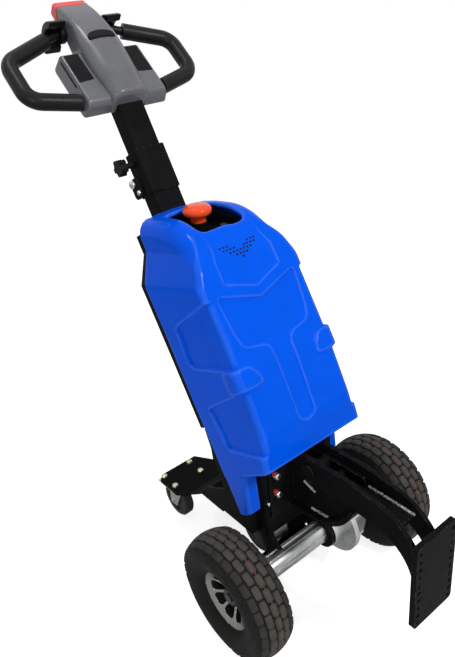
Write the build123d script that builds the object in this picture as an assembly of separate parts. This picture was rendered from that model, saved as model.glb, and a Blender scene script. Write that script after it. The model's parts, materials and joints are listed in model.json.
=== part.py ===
from build123d import *
import os
from collections import namedtuple
from math import atan, cos, degrees, radians, sin

os.makedirs("parts", exist_ok=True)

# Frame while modelling: X forwards to the tow plate, Y to the left wheel, Z up,
# zero on the floor under the axle.
# Driving sizes in millimetres and degrees.

# Drive wheels and axle
TYRE_R = 130.0
TYRE_W = 94.0
TYRE_SHOULDER_DROP = 11.0
TYRE_SHOULDER_IN = 7.0
TYRE_BULGE = 34.0
HALF_TRACK = 205.0
RIM_R = 58.0
RIM_W = 50.0
RIM_WALL = 4.0
RIM_LIP_R = 62.0
RIM_LIP_T = 4.0
RIM_DISC_T = 4.0
RIM_DISC_DEEP = 24.0
SPOKE_COUNT = 8
SPOKE_W = 9.0
SPOKE_RISE = 2.0
HUB_R = 21.0
HUB_OVER = 4.0
SHAFT_R = 10.0
SHAFT_PLAY = 0.08
SHAFT_SEAT = 60.0
SHAFT_END_GAP = 2.0
NUT_R = 17.0
NUT_T = 9.0
THREAD_OVER = 3.0
COLLAR_R = 16.0
COLLAR_GAP = 1.0
COLLAR_L = 23.0
AXLE_TUBE_R = 24.0
AXLE_TUBE_SHOWN = 16.0
TUBE_GROOVES = 8
TUBE_GROOVE_W = 5.0
TUBE_GROOVE_DEEP = 2.0

# Gear case, motor and axle hangers
CASE_IN_Y = 33.0
CASE_NECK_R = 40.0
CASE_NECK_L = 29.0
CASE_FLANGE_R = 69.0
CASE_FLANGE_T = 12.0
CASE_CAP_R = 65.0
CASE_CAP_STRAIGHT = 16.0
CASE_TAIL_R = 34.0
CASE_RIBS = 10
CASE_RIB_T = 6.0
BRIDGE_T = 28.0
BRIDGE_HALF_H = 36.0
BRIDGE_ROUND = 14.0
MOTOR_R = 42.0
MOTOR_BACK = 86.0
MOTOR_RISE = 2.0
MOTOR_L = 88.0
MOTOR_END_L = 50.0
MOTOR_END_R = 44.0
MOTOR_EDGE = 5.0
BRUSH_CAP_R = 12.0
BRUSH_CAP_T = 5.0
BRUSH_CAP_RISE = -12.0
HANGER_T = 6.0
HANGER_EYE_R = 38.0
HANGER_TOP_GAP = 2.0
SADDLE_GAP = 4.0
SADDLE_HIGH = 42.0

# Lean of the back panel, the cover and the mast, measured along the lean and square to it
LEAN = 28.0
PANEL_FRONT = 50.0
PANEL_T = 4.0
PANEL_INSET = 8.0
PANEL_LOW = 262.0
PANEL_HIGH = 830.0
PANEL_FLANGE = 26.0
PANEL_NOTCH = 425.0
PANEL_NOTCH_GAP = 6.0

# Cover sections from the bottom up: place along the lean where a section meets the panel and the front,
# depth in front of the panel, half widths at the panel and at the front, and the flat on its front corners
CoverRow = namedtuple("CoverRow", "back_u front_u depth back_w front_w corner")
COVER_ROWS = [
    CoverRow(317.0, 334.0, 155.0, 128.0, 124.5, 4.0),
    CoverRow(430.0, 393.0, 169.0, 128.5, 119.5, 8.0),
    CoverRow(560.0, 500.0, 175.0, 129.0, 119.0, 12.0),
    CoverRow(735.0, 683.0, 170.0, 130.5, 118.0, 12.0),
    CoverRow(763.0, 713.0, 168.5, 115.0, 107.0, 12.0),
    CoverRow(792.0, 743.0, 167.5, 99.0, 97.0, 12.0),
    CoverRow(900.0, 860.0, 165.0, 99.0, 95.0, 12.0),
]
COVER_WALL = 7.0
ROOF_X = -200.0
ROOF_Z = 776.0
ROOF_TILT = 0.06
ROOF_NOSE_R = 30.0
ROOF_SIDE_R = 46.0
ROOF_HALF_W = 99.0

# Moulded fields on the cover: half outlines across the front as Y and place along the lean,
# outlines on the side as depth and place along the lean
FRONT_SINK = 3.0
FRONT_FIELDS = {
    "head": [(0.0, 657.0), (65.0, 680.0), (57.0, 742.0), (56.0, 762.0)],
    "chest": [(0.0, 632.0), (88.0, 660.0), (80.0, 566.0), (27.0, 549.0), (20.0, 396.0), (0.0, 388.0)],
}
FIELD_FROM_DEPTH = 80.0
FIELD_TO_DEPTH = 220.0
EAR_RISE = 3.0
EAR_OUTLINE = [(160.0, 533.0), (88.0, 530.0), (69.0, 509.0), (69.0, 488.0), (160.0, 490.0)]
EAR_ROUND = 8.0
SIDE_SINK = 4.0
SIDE_SINK_IN_Y = 109.0
SIDE_FIELDS = [
    [(260.0, 667.0), (96.0, 634.0), (89.0, 565.0), (99.0, 552.0), (260.0, 523.0)],
    [(260.0, 495.0), (93.0, 465.0), (96.0, 445.0), (104.0, 385.0), (260.0, 355.0)],
]
FIELD_ROUND = 7.0

# Cover legs
LEG_LOW = 240.0
LEG_LOW_DROP = 4.0
LEG_INNER_Y = 96.0
LEG_IN = 1.0
LEG_WALL = 4.0
LEG_DEPTH_LOW = 32.0
LEG_DEPTH_HIGH = 74.0
LEG_JOIN_DROP = 9.0
LEG_JOIN_RISE = 2.0

# Control opening in the top of the cover
RECESS_FRONT_X = -200.0
RECESS_BACK_X = -318.0
RECESS_HALF_W = 54.0
RECESS_ROUND = 16.0
RECESS_REACH = 120.0
SCOOP_R = 40.0
SCOOP_Y = 26.0
SCOOP_SINK = 6.0
TRAY_FLOOR_Z = 744.0
TRAY_WALL = 3.0
SEAT_GAP = 0.2
STOP_X = -280.0
STOP_R = 29.0
STOP_TOP_Z = 803.0
STOP_CAP_H = 20.0
STOP_NECK_R = 14.0
STOP_BASE_R = 17.0
STOP_BASE_H = 14.0
STOP_EDGE = 5.0
STOP_DOME_R = 21.0
STOP_DOME_H = 3.0
FITTING_EDGE = 2.0
FITTINGS = {
    # name: X, Y, radius, height
    "key_switch": (-228.0, 24.0, 10.0, 24.0),
    "charge_socket": (-226.0, -20.0, 13.0, 18.0),
}

# Battery and its tray
TRAY_T = 5.0
TRAY_RISE = 4.0
TRAY_DEPTH = 136.0
BATTERY_DEPTH = 120.0
BATTERY_GAP = 4.0
BATTERY_HALF_W = 86.0
BATTERY_H = 230.0

# Mast, sleeve and tiller tube
UPPER_W = 58.0
UPPER_D = 40.0
TUBE_WALL = 2.5
SLIDE_PLAY = 0.5
TUBE_ROUND = 5.0
TUBE_ROUND_IN = 1.0
MAST_LOW = 352.0
SLEEVE_LOW = 901.0
SLEEVE_L = 91.0
SLEEVE_WALL = 4.0
SLEEVE_OVER = 4.0
UPPER_INSERT = 230.0
UPPER_TOP = 1104.0
KNOB_RISE = 68.0
KNOB_R = 17.0
KNOB_NECK_R = 6.0
KNOB_NECK_L = 22.0
KNOB_T = 16.0
KNOB_POINTS = 5
KNOB_NOTCH_R = 9.0
KNOB_NOTCH_OUT = 5.0
LUG_T = 5.0
LUG_RISE = 2.0
LUG_H = 42.0
LUG_BACK = 14.0
LUG_FRONT = 22.0
LUG_ROUND = 10.0

# Tiller head, measured along its own lean from the neck
HEAD_LEAN = 48.0
NECK_X = -478.0
NECK_Z = 985.0
NECK_H = 30.0
NECK_DROP = 8.0
HOUSING_HALF_W = 40.0
HOUSING_UNDER = 27.0
HOUSING_L = 250.0
HOUSING_ROUND = 12.0
HUMP_H = 43.0
HUMP_AT = 118.0
UNDER_TO = 100.0
NOSE_H = 20.0
NOSE_UNDER = 20.0
TIP_L = 8.0
TIP_SLANT = 38.0
TIP_DROP = 4.0
TIP_RISE = 8.0
TIP_ROUND = 5.0
WING_OUT = 97.0
WING_LOW = -4.0
WING_HIGH = 127.0
WING_OVER = 13.0
WING_UNDER = 29.0
WING_ROUND = 12.0
WING_END_ROUND = 8.0
LOOP_R = 16.5
LOOP_REACH = 190.0
LOOP_BEND = 34.0
LOOP_LOW = 19.0
LOOP_CORNER_LOW = 46.0
LOOP_CORNER_HIGH = 141.0
LOOP_HIGH = 183.0
LOOP_SINK = 8.0
GRIP_END_Y = 90.0
PIVOT_R = 9.0
THROTTLE_W = 30.0
THROTTLE_GAP = 4.0
THROTTLE_HUB_R = 13.0
THROTTLE_TOP = 35.0
THROTTLE_UNDER = 28.0
THROTTLE_TIP = 9.0
THROTTLE_CUP = 3.0
THROTTLE_BACK = 20.0
ROCKER_L = 20.0
ROCKER_W = 62.0
ROCKER_H = 7.0
ROCKER_ON = 17.0
ROCKER_SINK = 3.0
ROCKER_BOW = 9.0

# Chassis plates
PLATE_T = 6.0
SIDE_OUT_Y = 114.0
SIDE_FRONT_X = -52.0
SIDE_BACK_X = -214.0
SIDE_LOW_Z = 181.0
SIDE_BACK_H = 22.0
SIDE_HEEL_RISE = 8.0
SIDE_HEEL_BACK = 24.0
SIDE_LIP_W = 24.0
RETURN_HIGH_Z = 344.0
PANEL_SEAT = 2.0
FRONT_X = -26.0
FRONT_HALF_W = 95.0
FRONT_LOW_Z = 180.0
FRONT_HIGH_Z = 352.0
FRONT_ROUND = 9.0
FRONT_NOTCH_GAP = 4.0
DECK_TOP_Z = 139.0
DECK_BACK_X = -384.0
DECK_RAMP_X = -285.0
DECK_STEP_X = -226.0
DECK_FRONT_X = -150.0
DECK_HALF_W = 136.0
DECK_CORNER = 14.0
DECK_NARROW_X = -305.0
DECK_NARROW_L = 26.0
DECK_NOTCH = 44.0
DECK_NOTCH_HALF_W = 26.0

# Hitch arm edges as X and Z: the top from the root to its bend, then an arc down to the tow plate,
# the underside from the tow plate back along an arc to the root
ARM_TOP = [(8.0, 377.0), (121.0, 381.0), (190.0, 374.0)]
ARM_TOP_ARC = [(248.0, 355.0), (290.0, 304.0)]
ARM_UNDER_ARC = [(277.0, 250.0), (251.0, 299.0), (196.0, 322.0)]
ARM_UNDER = [(140.0, 327.0), (8.0, 322.0)]
ARM_HEEL_Z = 212.0
ARM_OUT_Y = 30.0
ARM_T = 8.0
ROOT_LOW_Z = 330.0
ROOT_HIGH_Z = 350.0
ROOT_PIN_X = 36.0
ROOT_PIN_Z = 347.0
ROOT_PIN_R = 13.0
ROOT_PIN_HEAD_R = 17.0
ROOT_PIN_HEAD = 6.0

# Bracket under the arm: a foot on the front plate, two inner cheeks and a bent chin plate, edges as X and Z
BRACKET_FOOT_HALF_W = 84.0
BRACKET_FOOT_LOW_Z = 228.0
BRACKET_FOOT_HIGH_Z = 352.0
BRACKET_T = 8.0
CHIN_HALF_W = 39.0
CHIN_T = 6.0
CHIN_LINE = [(-20.0, 236.0), (62.0, 243.0)]
CHIN_ARC = [(118.0, 273.0), (152.0, 324.0)]
CHEEK_HIGH_Z = 362.0
CHEEK_FRONT_X = 130.0
WEB_T = 8.0
WEB_TOP_Z = 343.0
WEB_BACK_X = 80.0
WEB_FRONT_X = 238.0
WEB_ROLL_R = 9.0
TOW_FACE_X = 301.0
TOW_T = 11.0
TOW_HALF_W = 53.0
TOW_LOW_Z = 172.0
TOW_HIGH_Z = 360.0
TOW_ROUND = 8.0
TOW_HOLE_R = 4.5
TOW_HOLE_Y = 42.8
TOW_HOLE_PITCH = 17.9
TOW_HOLE_ROWS = 10
TOW_HOLE_LOW_Z = 183.5

# Castors
CASTOR_X = -349.0
CASTOR_Y = 86.0
CASTOR_R = 46.0
CASTOR_W = 26.0
CASTOR_TRAIL = 34.0
CASTOR_PLATE_T = 4.0
CASTOR_PLATE_L = 66.0
CASTOR_PLATE_W = 98.0
SWIVEL_R = 24.0
SWIVEL_TAPER = 3.0
SWIVEL_H = 12.0
SWIVEL_GAP = 0.5
FORK_T = 3.0
FORK_GAP = 2.0
FORK_FOOT = 12.0
FORK_KNEE_H = 20.0
FORK_ROUND = 5.0
CROWN_T = 5.0
CASTOR_PIN_R = 5.0
CASTOR_PIN_OVER = 4.0
PIN_PLAY = 0.08
CASTOR_HUB_R = 14.0
CASTOR_DISC_R = 30.0
CASTOR_DISC_SINK = 4.0
CASTOR_HUB_OVER = 1.0
CASTOR_EDGE = 4.0

# Worked out from the sizes above
PAST = 20.0
BEYOND = 400.0
SIDES = {"left": 1, "right": -1}
LEANED = Rot(0, -LEAN, 0)
LEAN_SIN = sin(radians(LEAN))
LEAN_COS = cos(radians(LEAN))
PANEL_BACK = PANEL_FRONT - PANEL_T
SIDE_IN_Y = SIDE_OUT_Y - PLATE_T
TRAY_LOW = COVER_ROWS[0].front_u + TRAY_RISE
LEG_OUT_Y = COVER_ROWS[0].back_w - LEG_IN
RECESS_MID_X = (RECESS_FRONT_X + RECESS_BACK_X) / 2
MAST_W = UPPER_W + 2 * (SLIDE_PLAY + TUBE_WALL)
MAST_D = UPPER_D + 2 * (SLIDE_PLAY + TUBE_WALL)
MAST_MID = PANEL_BACK - MAST_D / 2
SLEEVE_TOP = SLEEVE_LOW + SLEEVE_L
HEAD = Pos(NECK_X, 0, NECK_Z) * Rot(0, -HEAD_LEAN, 0)
CASE_FLANGE_Y = CASE_IN_Y + CASE_NECK_L
CASE_CAP_Y = CASE_FLANGE_Y + CASE_FLANGE_T
AXLE_TUBE_END = HALF_TRACK - RIM_W / 2 - COLLAR_L - COLLAR_GAP
CASE_END_Y = AXLE_TUBE_END - AXLE_TUBE_SHOWN
HUB_FACE = RIM_W / 2 - RIM_DISC_DEEP + RIM_DISC_T + HUB_OVER
MOTOR_SPLIT_Y = CASE_FLANGE_Y - MOTOR_L
MOTOR_END_Y = MOTOR_SPLIT_Y - MOTOR_END_L
BORE_Y = AXLE_TUBE_END - SHAFT_SEAT
FOOT_X = FRONT_X + PLATE_T
ARM_IN_Y = ARM_OUT_Y - ARM_T
TOW_BACK_X = TOW_FACE_X - TOW_T
CASTOR_TOP_Z = DECK_TOP_Z - PLATE_T
SWIVEL_TOP_Z = CASTOR_TOP_Z - CASTOR_PLATE_T
SWIVEL_LOW_Z = SWIVEL_TOP_Z - SWIVEL_H
CROWN_TOP_Z = SWIVEL_LOW_Z - SWIVEL_GAP

parts = {}


def leaning_to_floor(depth, along):
    """X and Z of a point given square to the lean and along it."""
    return (depth * LEAN_COS - along * LEAN_SIN, depth * LEAN_SIN + along * LEAN_COS)


def depth_at(x, along):
    """How far square to the lean a point lies, from its X and its place along the lean."""
    return (x + along * LEAN_SIN) / LEAN_COS


def plate(outline, low_y, high_y):
    """A closed outline in X and Z, given thickness from one Y to another."""
    face = Plane.XZ * make_face(outline)
    return Pos(0, high_y, 0) * extrude(face, amount=high_y - low_y)


def closed(points):
    return Polyline(*points, close=True)


def rounded(points, radius):
    """A closed outline with all its corners rounded alike."""
    return FilletPolyline(*points, radius=radius, close=True)


def mirrored(half):
    """A closed outline from its half at positive Y, with points on the middle line used once."""
    return half + [(-y, along) for y, along in reversed(half) if y > 0]


def turned(points):
    """A solid turned about Y from an outline of radius and Y."""
    return revolve(make_face(closed(points)), Axis.Y)


def rod(radius, low_y, high_y):
    return turned([(0, low_y), (radius, low_y), (radius, high_y), (0, high_y)])


def turned_up(points):
    """A solid turned about Z from an outline of radius and Z."""
    return revolve(Plane.XZ * make_face(closed(points)), Axis.Z)


def block(low, high):
    """A box from its lowest to its highest corner."""
    size = [top - bottom for bottom, top in zip(low, high)]
    middle = [(top + bottom) / 2 for bottom, top in zip(low, high)]
    return Pos(*middle) * Box(*size)


def box_tube(width, depth, round_r, low, high):
    """An upright rounded bar on the mast's line in the lean's own frame."""
    face = RectangleRounded(depth, width, round_r)
    return Pos(MAST_MID, 0, low) * extrude(face, amount=high - low)


def on_side(shape, side):
    """The left-hand shape, mirrored for the right-hand side."""
    return shape if side > 0 else mirror(shape, Plane.XZ)


# Drive wheel, built on the left and mirrored

def tyre():
    half = TYRE_W / 2
    seat = RIM_W / 2
    shoulder = (TYRE_R - TYRE_SHOULDER_DROP, half - TYRE_SHOULDER_IN)
    bulge = (RIM_R + TYRE_BULGE, half)
    outline = (
        ThreePointArc((RIM_R, -seat), (bulge[0], -bulge[1]), (shoulder[0], -shoulder[1]))
        + ThreePointArc((shoulder[0], -shoulder[1]), (TYRE_R, 0), shoulder)
        + ThreePointArc(shoulder, bulge, (RIM_R, seat))
        + Line((RIM_R, seat), (RIM_R, -seat))
    )
    return revolve(make_face(outline), Axis.Y)


def rim():
    """A dished wheel whose spokes fall from the lip to a deep hub."""
    seat = RIM_W / 2
    inner = RIM_R - RIM_WALL
    disc_y = seat - RIM_DISC_DEEP
    spoke_y = disc_y + RIM_DISC_T
    wheel = turned([(inner, -seat), (RIM_R, -seat), (RIM_R, seat), (inner, seat)])
    lip_y = seat + RIM_LIP_T
    wheel += turned([(inner, seat), (RIM_LIP_R, seat), (RIM_LIP_R, lip_y), (inner, lip_y)])
    wheel += rod(inner, disc_y, spoke_y) + rod(HUB_R, -seat, HUB_FACE)
    side = make_face(Polyline(
        (0, spoke_y), (inner, spoke_y), (inner, seat + SPOKE_RISE), (HUB_R, HUB_FACE), (0, HUB_FACE), close=True,
    ))
    spoke = Pos(0, 0, -SPOKE_W / 2) * extrude(side, amount=SPOKE_W)
    for index in range(SPOKE_COUNT):
        wheel += Rot(0, index * 360 / SPOKE_COUNT, 0) * spoke
    return wheel - rod(SHAFT_R, -TYRE_W, TYRE_W)


def axle_shaft():
    nut_y = HALF_TRACK + HUB_FACE
    collar_y = HALF_TRACK - RIM_W / 2
    shaft = rod(SHAFT_R, BORE_Y + SHAFT_END_GAP, nut_y + NUT_T + THREAD_OVER)
    return shaft + rod(NUT_R, nut_y, nut_y + NUT_T) + rod(COLLAR_R, AXLE_TUBE_END + COLLAR_GAP, collar_y)


for name, side in SIDES.items():
    parts["tyre_" + name] = on_side(Pos(0, HALF_TRACK, TYRE_R) * (tyre() - rim()), side)
    parts["rim_" + name] = on_side(Pos(0, HALF_TRACK, TYRE_R) * rim(), side)
    parts["axle_shaft_" + name] = on_side(Pos(0, 0, TYRE_R) * axle_shaft(), side)


# Axle tubes, gear case and motor

def shaft_bore():
    return rod(SHAFT_R + SHAFT_PLAY, BORE_Y, AXLE_TUBE_END + PAST)


def axle_tube(inner_y):
    tube = rod(AXLE_TUBE_R, inner_y, AXLE_TUBE_END)
    groove = block(
        (AXLE_TUBE_R - TUBE_GROOVE_DEEP, inner_y - PAST, -TUBE_GROOVE_W / 2),
        (AXLE_TUBE_R + PAST, AXLE_TUBE_END + PAST, TUBE_GROOVE_W / 2),
    )
    for index in range(TUBE_GROOVES):
        tube -= Rot(0, (index + 0.5) * 360 / TUBE_GROOVES, 0) * groove
    return Pos(0, 0, TYRE_R) * (tube - shaft_bore())


def gear_case():
    cone_y = CASE_CAP_Y + CASE_CAP_STRAIGHT
    near = [
        (0, CASE_IN_Y), (CASE_NECK_R, CASE_IN_Y), (CASE_NECK_R, CASE_FLANGE_Y), (CASE_FLANGE_R, CASE_FLANGE_Y),
        (CASE_FLANGE_R, CASE_CAP_Y), (CASE_CAP_R, CASE_CAP_Y),
    ]
    tail = [(CASE_TAIL_R, CASE_END_Y), (0, CASE_END_Y)]
    envelope = turned(near + [(CASE_CAP_R, cone_y)] + tail)
    core = turned(near + [(CASE_NECK_R, cone_y)] + tail)
    rib = block((0, CASE_CAP_Y, -CASE_RIB_T / 2), (CASE_CAP_R, CASE_END_Y, CASE_RIB_T / 2))
    ribs = [Rot(0, index * 360 / CASE_RIBS, 0) * rib for index in range(CASE_RIBS)]
    body = core + (envelope & Compound(ribs))
    back_x = -MOTOR_BACK - MOTOR_R
    motor_z = TYRE_R + MOTOR_RISE
    bridge = rounded([
        (back_x, motor_z - BRIDGE_HALF_H), (back_x, motor_z + BRIDGE_HALF_H),
        (0, TYRE_R + BRIDGE_HALF_H), (0, TYRE_R - BRIDGE_HALF_H),
    ], BRIDGE_ROUND)
    link = plate(bridge, CASE_FLANGE_Y, CASE_FLANGE_Y + BRIDGE_T)
    return Pos(0, 0, TYRE_R) * body + link - Pos(0, 0, TYRE_R) * shaft_bore()


def at_motor(shape):
    return Pos(-MOTOR_BACK, 0, TYRE_R + MOTOR_RISE) * shape


def motor_end():
    edge_y = MOTOR_END_Y + MOTOR_EDGE
    bell = turned([
        (0, MOTOR_END_Y), (MOTOR_END_R - MOTOR_EDGE, MOTOR_END_Y), (MOTOR_END_R, edge_y),
        (MOTOR_END_R, MOTOR_SPLIT_Y), (0, MOTOR_SPLIT_Y),
    ])
    cap_y = (MOTOR_END_Y + MOTOR_SPLIT_Y) / 2
    cap = Plane(origin=(0, cap_y, BRUSH_CAP_RISE), z_dir=(1, 0, 0)) * Circle(BRUSH_CAP_R)
    return at_motor(bell + extrude(cap, amount=MOTOR_END_R + BRUSH_CAP_T))


def hanger_left():
    """A plate from the front plate down to an eye round the axle tube."""
    high_z = BRACKET_FOOT_LOW_Z - HANGER_TOP_GAP
    low_y = ARM_OUT_Y - HANGER_T
    arm = closed([
        (FRONT_X, FRONT_LOW_Z), (FRONT_X, high_z), (0, high_z),
        (HANGER_EYE_R, TYRE_R), (-HANGER_EYE_R, TYRE_R),
    ])
    eye = Pos(0, 0, TYRE_R) * rod(HANGER_EYE_R, low_y, ARM_OUT_Y)
    hole = Pos(0, 0, TYRE_R) * rod(AXLE_TUBE_R, low_y - PAST, ARM_OUT_Y + PAST)
    return plate(arm, low_y, ARM_OUT_Y) + eye - hole


def hanger_right():
    """A plate behind the axle tube that holds its rear half and stands on the front plate's back."""
    high_y = MOTOR_END_Y - SADDLE_GAP
    back_x = FRONT_X - PLATE_T
    outline = closed([
        (back_x, FRONT_LOW_Z + SADDLE_HIGH), (back_x - AXLE_TUBE_R, FRONT_LOW_Z + SADDLE_HIGH),
        (back_x - AXLE_TUBE_R, TYRE_R + AXLE_TUBE_R), (-HANGER_EYE_R, TYRE_R - AXLE_TUBE_R),
        (0, TYRE_R - AXLE_TUBE_R), (0, TYRE_R + AXLE_TUBE_R), (back_x, FRONT_LOW_Z),
    ])
    hole = Pos(0, 0, TYRE_R) * rod(AXLE_TUBE_R, high_y - HANGER_T - PAST, high_y + PAST)
    return plate(outline, high_y - HANGER_T, high_y) - hole


parts["axle_tube_left"] = axle_tube(CASE_END_Y)
parts["axle_tube_right"] = mirror(axle_tube(-CASE_IN_Y), Plane.XZ)
parts["gear_case"] = gear_case()
parts["drive_motor"] = at_motor(rod(MOTOR_R, MOTOR_SPLIT_Y, CASE_FLANGE_Y))
parts["motor_end"] = motor_end()
parts["axle_hanger_left"] = hanger_left()
parts["axle_hanger_right"] = hanger_right()


# Leaning back panel and mast

def back_panel():
    rows = [row for row in COVER_ROWS if PANEL_NOTCH < row.back_u < PANEL_HIGH]
    sides = [(row.back_w - PANEL_INSET, row.back_u) for row in rows]
    edge = [(sides[0][0], PANEL_NOTCH)] + sides[1:] + [(sides[-1][0], PANEL_HIGH)]
    half = [(SIDE_IN_Y, PANEL_LOW), (SIDE_IN_Y, PANEL_NOTCH)] + edge
    panel = Pos(PANEL_BACK, 0, 0) * extrude(Plane.YZ * make_face(closed(mirrored(half))), amount=PANEL_T)
    strip = closed(edge + [(y - PANEL_T, along) for y, along in reversed(edge)])
    flange = Pos(PANEL_FRONT, 0, 0) * extrude(Plane.YZ * make_face(strip), amount=-PANEL_FLANGE - PANEL_T)
    for side in SIDES.values():
        panel += on_side(flange, side)
    return LEANED * panel


def mast_tube():
    tube = box_tube(MAST_W, MAST_D, TUBE_ROUND, MAST_LOW, SLEEVE_TOP - SLEEVE_OVER)
    bore_round = TUBE_ROUND - TUBE_WALL
    bore_w = MAST_W - 2 * TUBE_WALL
    bore_d = MAST_D - 2 * TUBE_WALL
    bore = box_tube(bore_w, bore_d, bore_round, MAST_LOW - PAST, SLEEVE_TOP + PAST)
    return LEANED * (tube - bore)


def mast_sleeve():
    round_r = TUBE_ROUND + SLEEVE_WALL
    sleeve = box_tube(MAST_W + 2 * SLEEVE_WALL, MAST_D + 2 * SLEEVE_WALL, round_r, SLEEVE_LOW, SLEEVE_TOP)
    sleeve -= box_tube(MAST_W, MAST_D, TUBE_ROUND, SLEEVE_LOW - PAST, SLEEVE_TOP + PAST)
    low = SLEEVE_LOW + LUG_RISE
    back = MAST_MID - MAST_D / 2
    lug = rounded([
        (back - LUG_BACK, low), (back - LUG_BACK, low + LUG_H),
        (back + LUG_FRONT, low + LUG_H), (back + LUG_FRONT, low),
    ], LUG_ROUND)
    lug_y = -MAST_W / 2 - SLEEVE_WALL
    return LEANED * (sleeve + plate(lug, lug_y - LUG_T, lug_y))


def star_knob():
    seat_y = -MAST_W / 2 - SLEEVE_WALL
    face_y = seat_y - KNOB_NECK_L
    star = rod(KNOB_R, face_y - KNOB_T, face_y)
    notch = Pos(KNOB_R + KNOB_NOTCH_OUT, 0, 0) * rod(KNOB_NOTCH_R, face_y - KNOB_T - PAST, face_y + PAST)
    for index in range(KNOB_POINTS):
        star -= Rot(0, index * 360 / KNOB_POINTS, 0) * notch
    return LEANED * Pos(MAST_MID, 0, SLEEVE_LOW + KNOB_RISE) * (rod(KNOB_NECK_R, face_y, seat_y) + star)


def upper_tube():
    low = SLEEVE_TOP - UPPER_INSERT
    tube = box_tube(UPPER_W, UPPER_D, TUBE_ROUND - TUBE_WALL, low, UPPER_TOP)
    bore_w = UPPER_W - 2 * TUBE_WALL
    bore_d = UPPER_D - 2 * TUBE_WALL
    bore = box_tube(bore_w, bore_d, TUBE_ROUND_IN, low - PAST, UPPER_TOP + PAST)
    return LEANED * (tube - bore)


parts["back_panel"] = back_panel()
parts["mast_tube"] = mast_tube()
parts["mast_sleeve"] = mast_sleeve()
parts["star_knob"] = star_knob()
parts["upper_tube"] = upper_tube()


# Blue cover: sections joined up the lean, cut by a rounded roof, hollowed by the same form set in by the wall

def cover_section(row, inset, past):
    """One six-sided section from the panel to the front, set in by the wall and carried on past the panel."""
    front = (PANEL_FRONT + row.depth - inset, row.front_u)
    reach = (row.depth ** 2 + (row.back_u - row.front_u) ** 2) ** 0.5
    flat = row.corner / reach
    half = []
    for share, width in ((1 + past / reach, row.back_w), (flat, row.front_w), (0, row.front_w - row.corner)):
        depth = front[0] - (row.depth - inset) * share
        along = front[1] + (row.back_u - row.front_u) * share
        half.append((depth, width - inset, along))
    return make_face(closed(half + [(depth, -y, along) for depth, y, along in reversed(half)]))


def lowered(first, second, past):
    """The lowest section carried on downwards by as much again as lies between it and the next."""
    share = past / (second.front_u - first.front_u)
    return CoverRow(*[value + (value - after) * share for value, after in zip(first, second)])


def roof_form(inset):
    """Everything under the tilted roof, with its nose rounded, less the two rounded sides."""
    front_depth = PANEL_FRONT + COVER_ROWS[-2].depth + 1 - inset
    roof_z = ROOF_Z + ROOF_X * ROOF_TILT - inset
    nose_x = (front_depth - LEAN_SIN * roof_z) / (LEAN_COS - LEAN_SIN * ROOF_TILT)
    nose = (nose_x, roof_z - ROOF_TILT * nose_x)
    foot = leaning_to_floor(front_depth, 0)
    back = (-2 * BEYOND, roof_z + ROOF_TILT * 2 * BEYOND)
    radius = ROOF_NOSE_R - inset
    outline = FilletPolyline(foot, nose, back, radius=radius) + Polyline(back, (back[0], foot[1]), foot)
    form = plate(outline, -BEYOND, BEYOND)
    half_w = ROOF_HALF_W - inset
    side_r = ROOF_SIDE_R - inset
    flat = half_w - side_r
    middle = (flat + side_r * sin(radians(45)), side_r * cos(radians(45)) - side_r)
    corner = ThreePointArc((flat, 0), middle, (half_w, -side_r)) + Polyline(
        (half_w, -side_r), (BEYOND, -side_r), (BEYOND, BEYOND), (flat, BEYOND), (flat, 0)
    )
    roll = Pos(-BEYOND, 0, 0) * extrude(Plane.YZ * make_face(corner), amount=2 * BEYOND)
    roll = Pos(ROOF_X, 0, ROOF_Z - inset) * Rot(0, degrees(atan(ROOF_TILT)), 0) * roll
    for side in SIDES.values():
        form -= on_side(roll, side)
    return form


def cover_form(inset, past=0.0):
    rows = list(COVER_ROWS)
    if past:
        rows[0] = lowered(rows[0], rows[1], past)
    stack = loft([cover_section(row, inset, past) for row in rows], ruled=True)
    return (LEANED * stack) & roof_form(inset)


def cover_leg(inset, past):
    back = PANEL_FRONT - past
    front_low = PANEL_FRONT + LEG_DEPTH_LOW - inset
    front_high = PANEL_FRONT + LEG_DEPTH_HIGH - inset
    join = COVER_ROWS[0].front_u
    outline = closed([
        (back, LEG_LOW - past), (front_low, LEG_LOW - LEG_LOW_DROP - past),
        (front_high, join - LEG_JOIN_DROP), (front_high, join + LEG_JOIN_RISE), (back, join + LEG_JOIN_RISE),
    ])
    return LEANED * plate(outline, LEG_INNER_Y - past, LEG_OUT_Y - inset)


def front_prism(outline):
    """An outline of Y and place along the lean, carried through the cover's front."""
    face = Plane.YZ * make_face(outline)
    start = PANEL_FRONT + FIELD_FROM_DEPTH
    return LEANED * Pos(start, 0, 0) * extrude(face, amount=FIELD_TO_DEPTH - FIELD_FROM_DEPTH)


def cover():
    shell = cover_form(0)
    ear = front_prism(rounded(EAR_OUTLINE, EAR_ROUND)) & cover_form(-EAR_RISE)
    side_core = cover_form(SIDE_SINK)
    for side in SIDES.values():
        shell += on_side(ear, side)
        for outline in SIDE_FIELDS:
            field = LEANED * plate(rounded(outline, FIELD_ROUND), SIDE_SINK_IN_Y, BEYOND)
            shell -= on_side(field - side_core, side)
    front_core = cover_form(FRONT_SINK)
    for half in FRONT_FIELDS.values():
        shell -= front_prism(closed(mirrored(half))) - front_core
    shell -= cover_form(COVER_WALL, PAST)
    leg = cover_leg(0, 0) - cover_leg(LEG_WALL, PAST)
    for side in SIDES.values():
        shell += on_side(leg, side)
    opening = RectangleRounded(RECESS_FRONT_X - RECESS_BACK_X, 2 * RECESS_HALF_W, RECESS_ROUND)
    recess = Pos(RECESS_MID_X, 0, TRAY_FLOOR_Z) * extrude(opening, amount=RECESS_REACH)
    scoop = Pos(RECESS_FRONT_X, SCOOP_Y, ROOF_Z + SCOOP_R - SCOOP_SINK) * Sphere(SCOOP_R)
    return shell - recess - scoop


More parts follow.
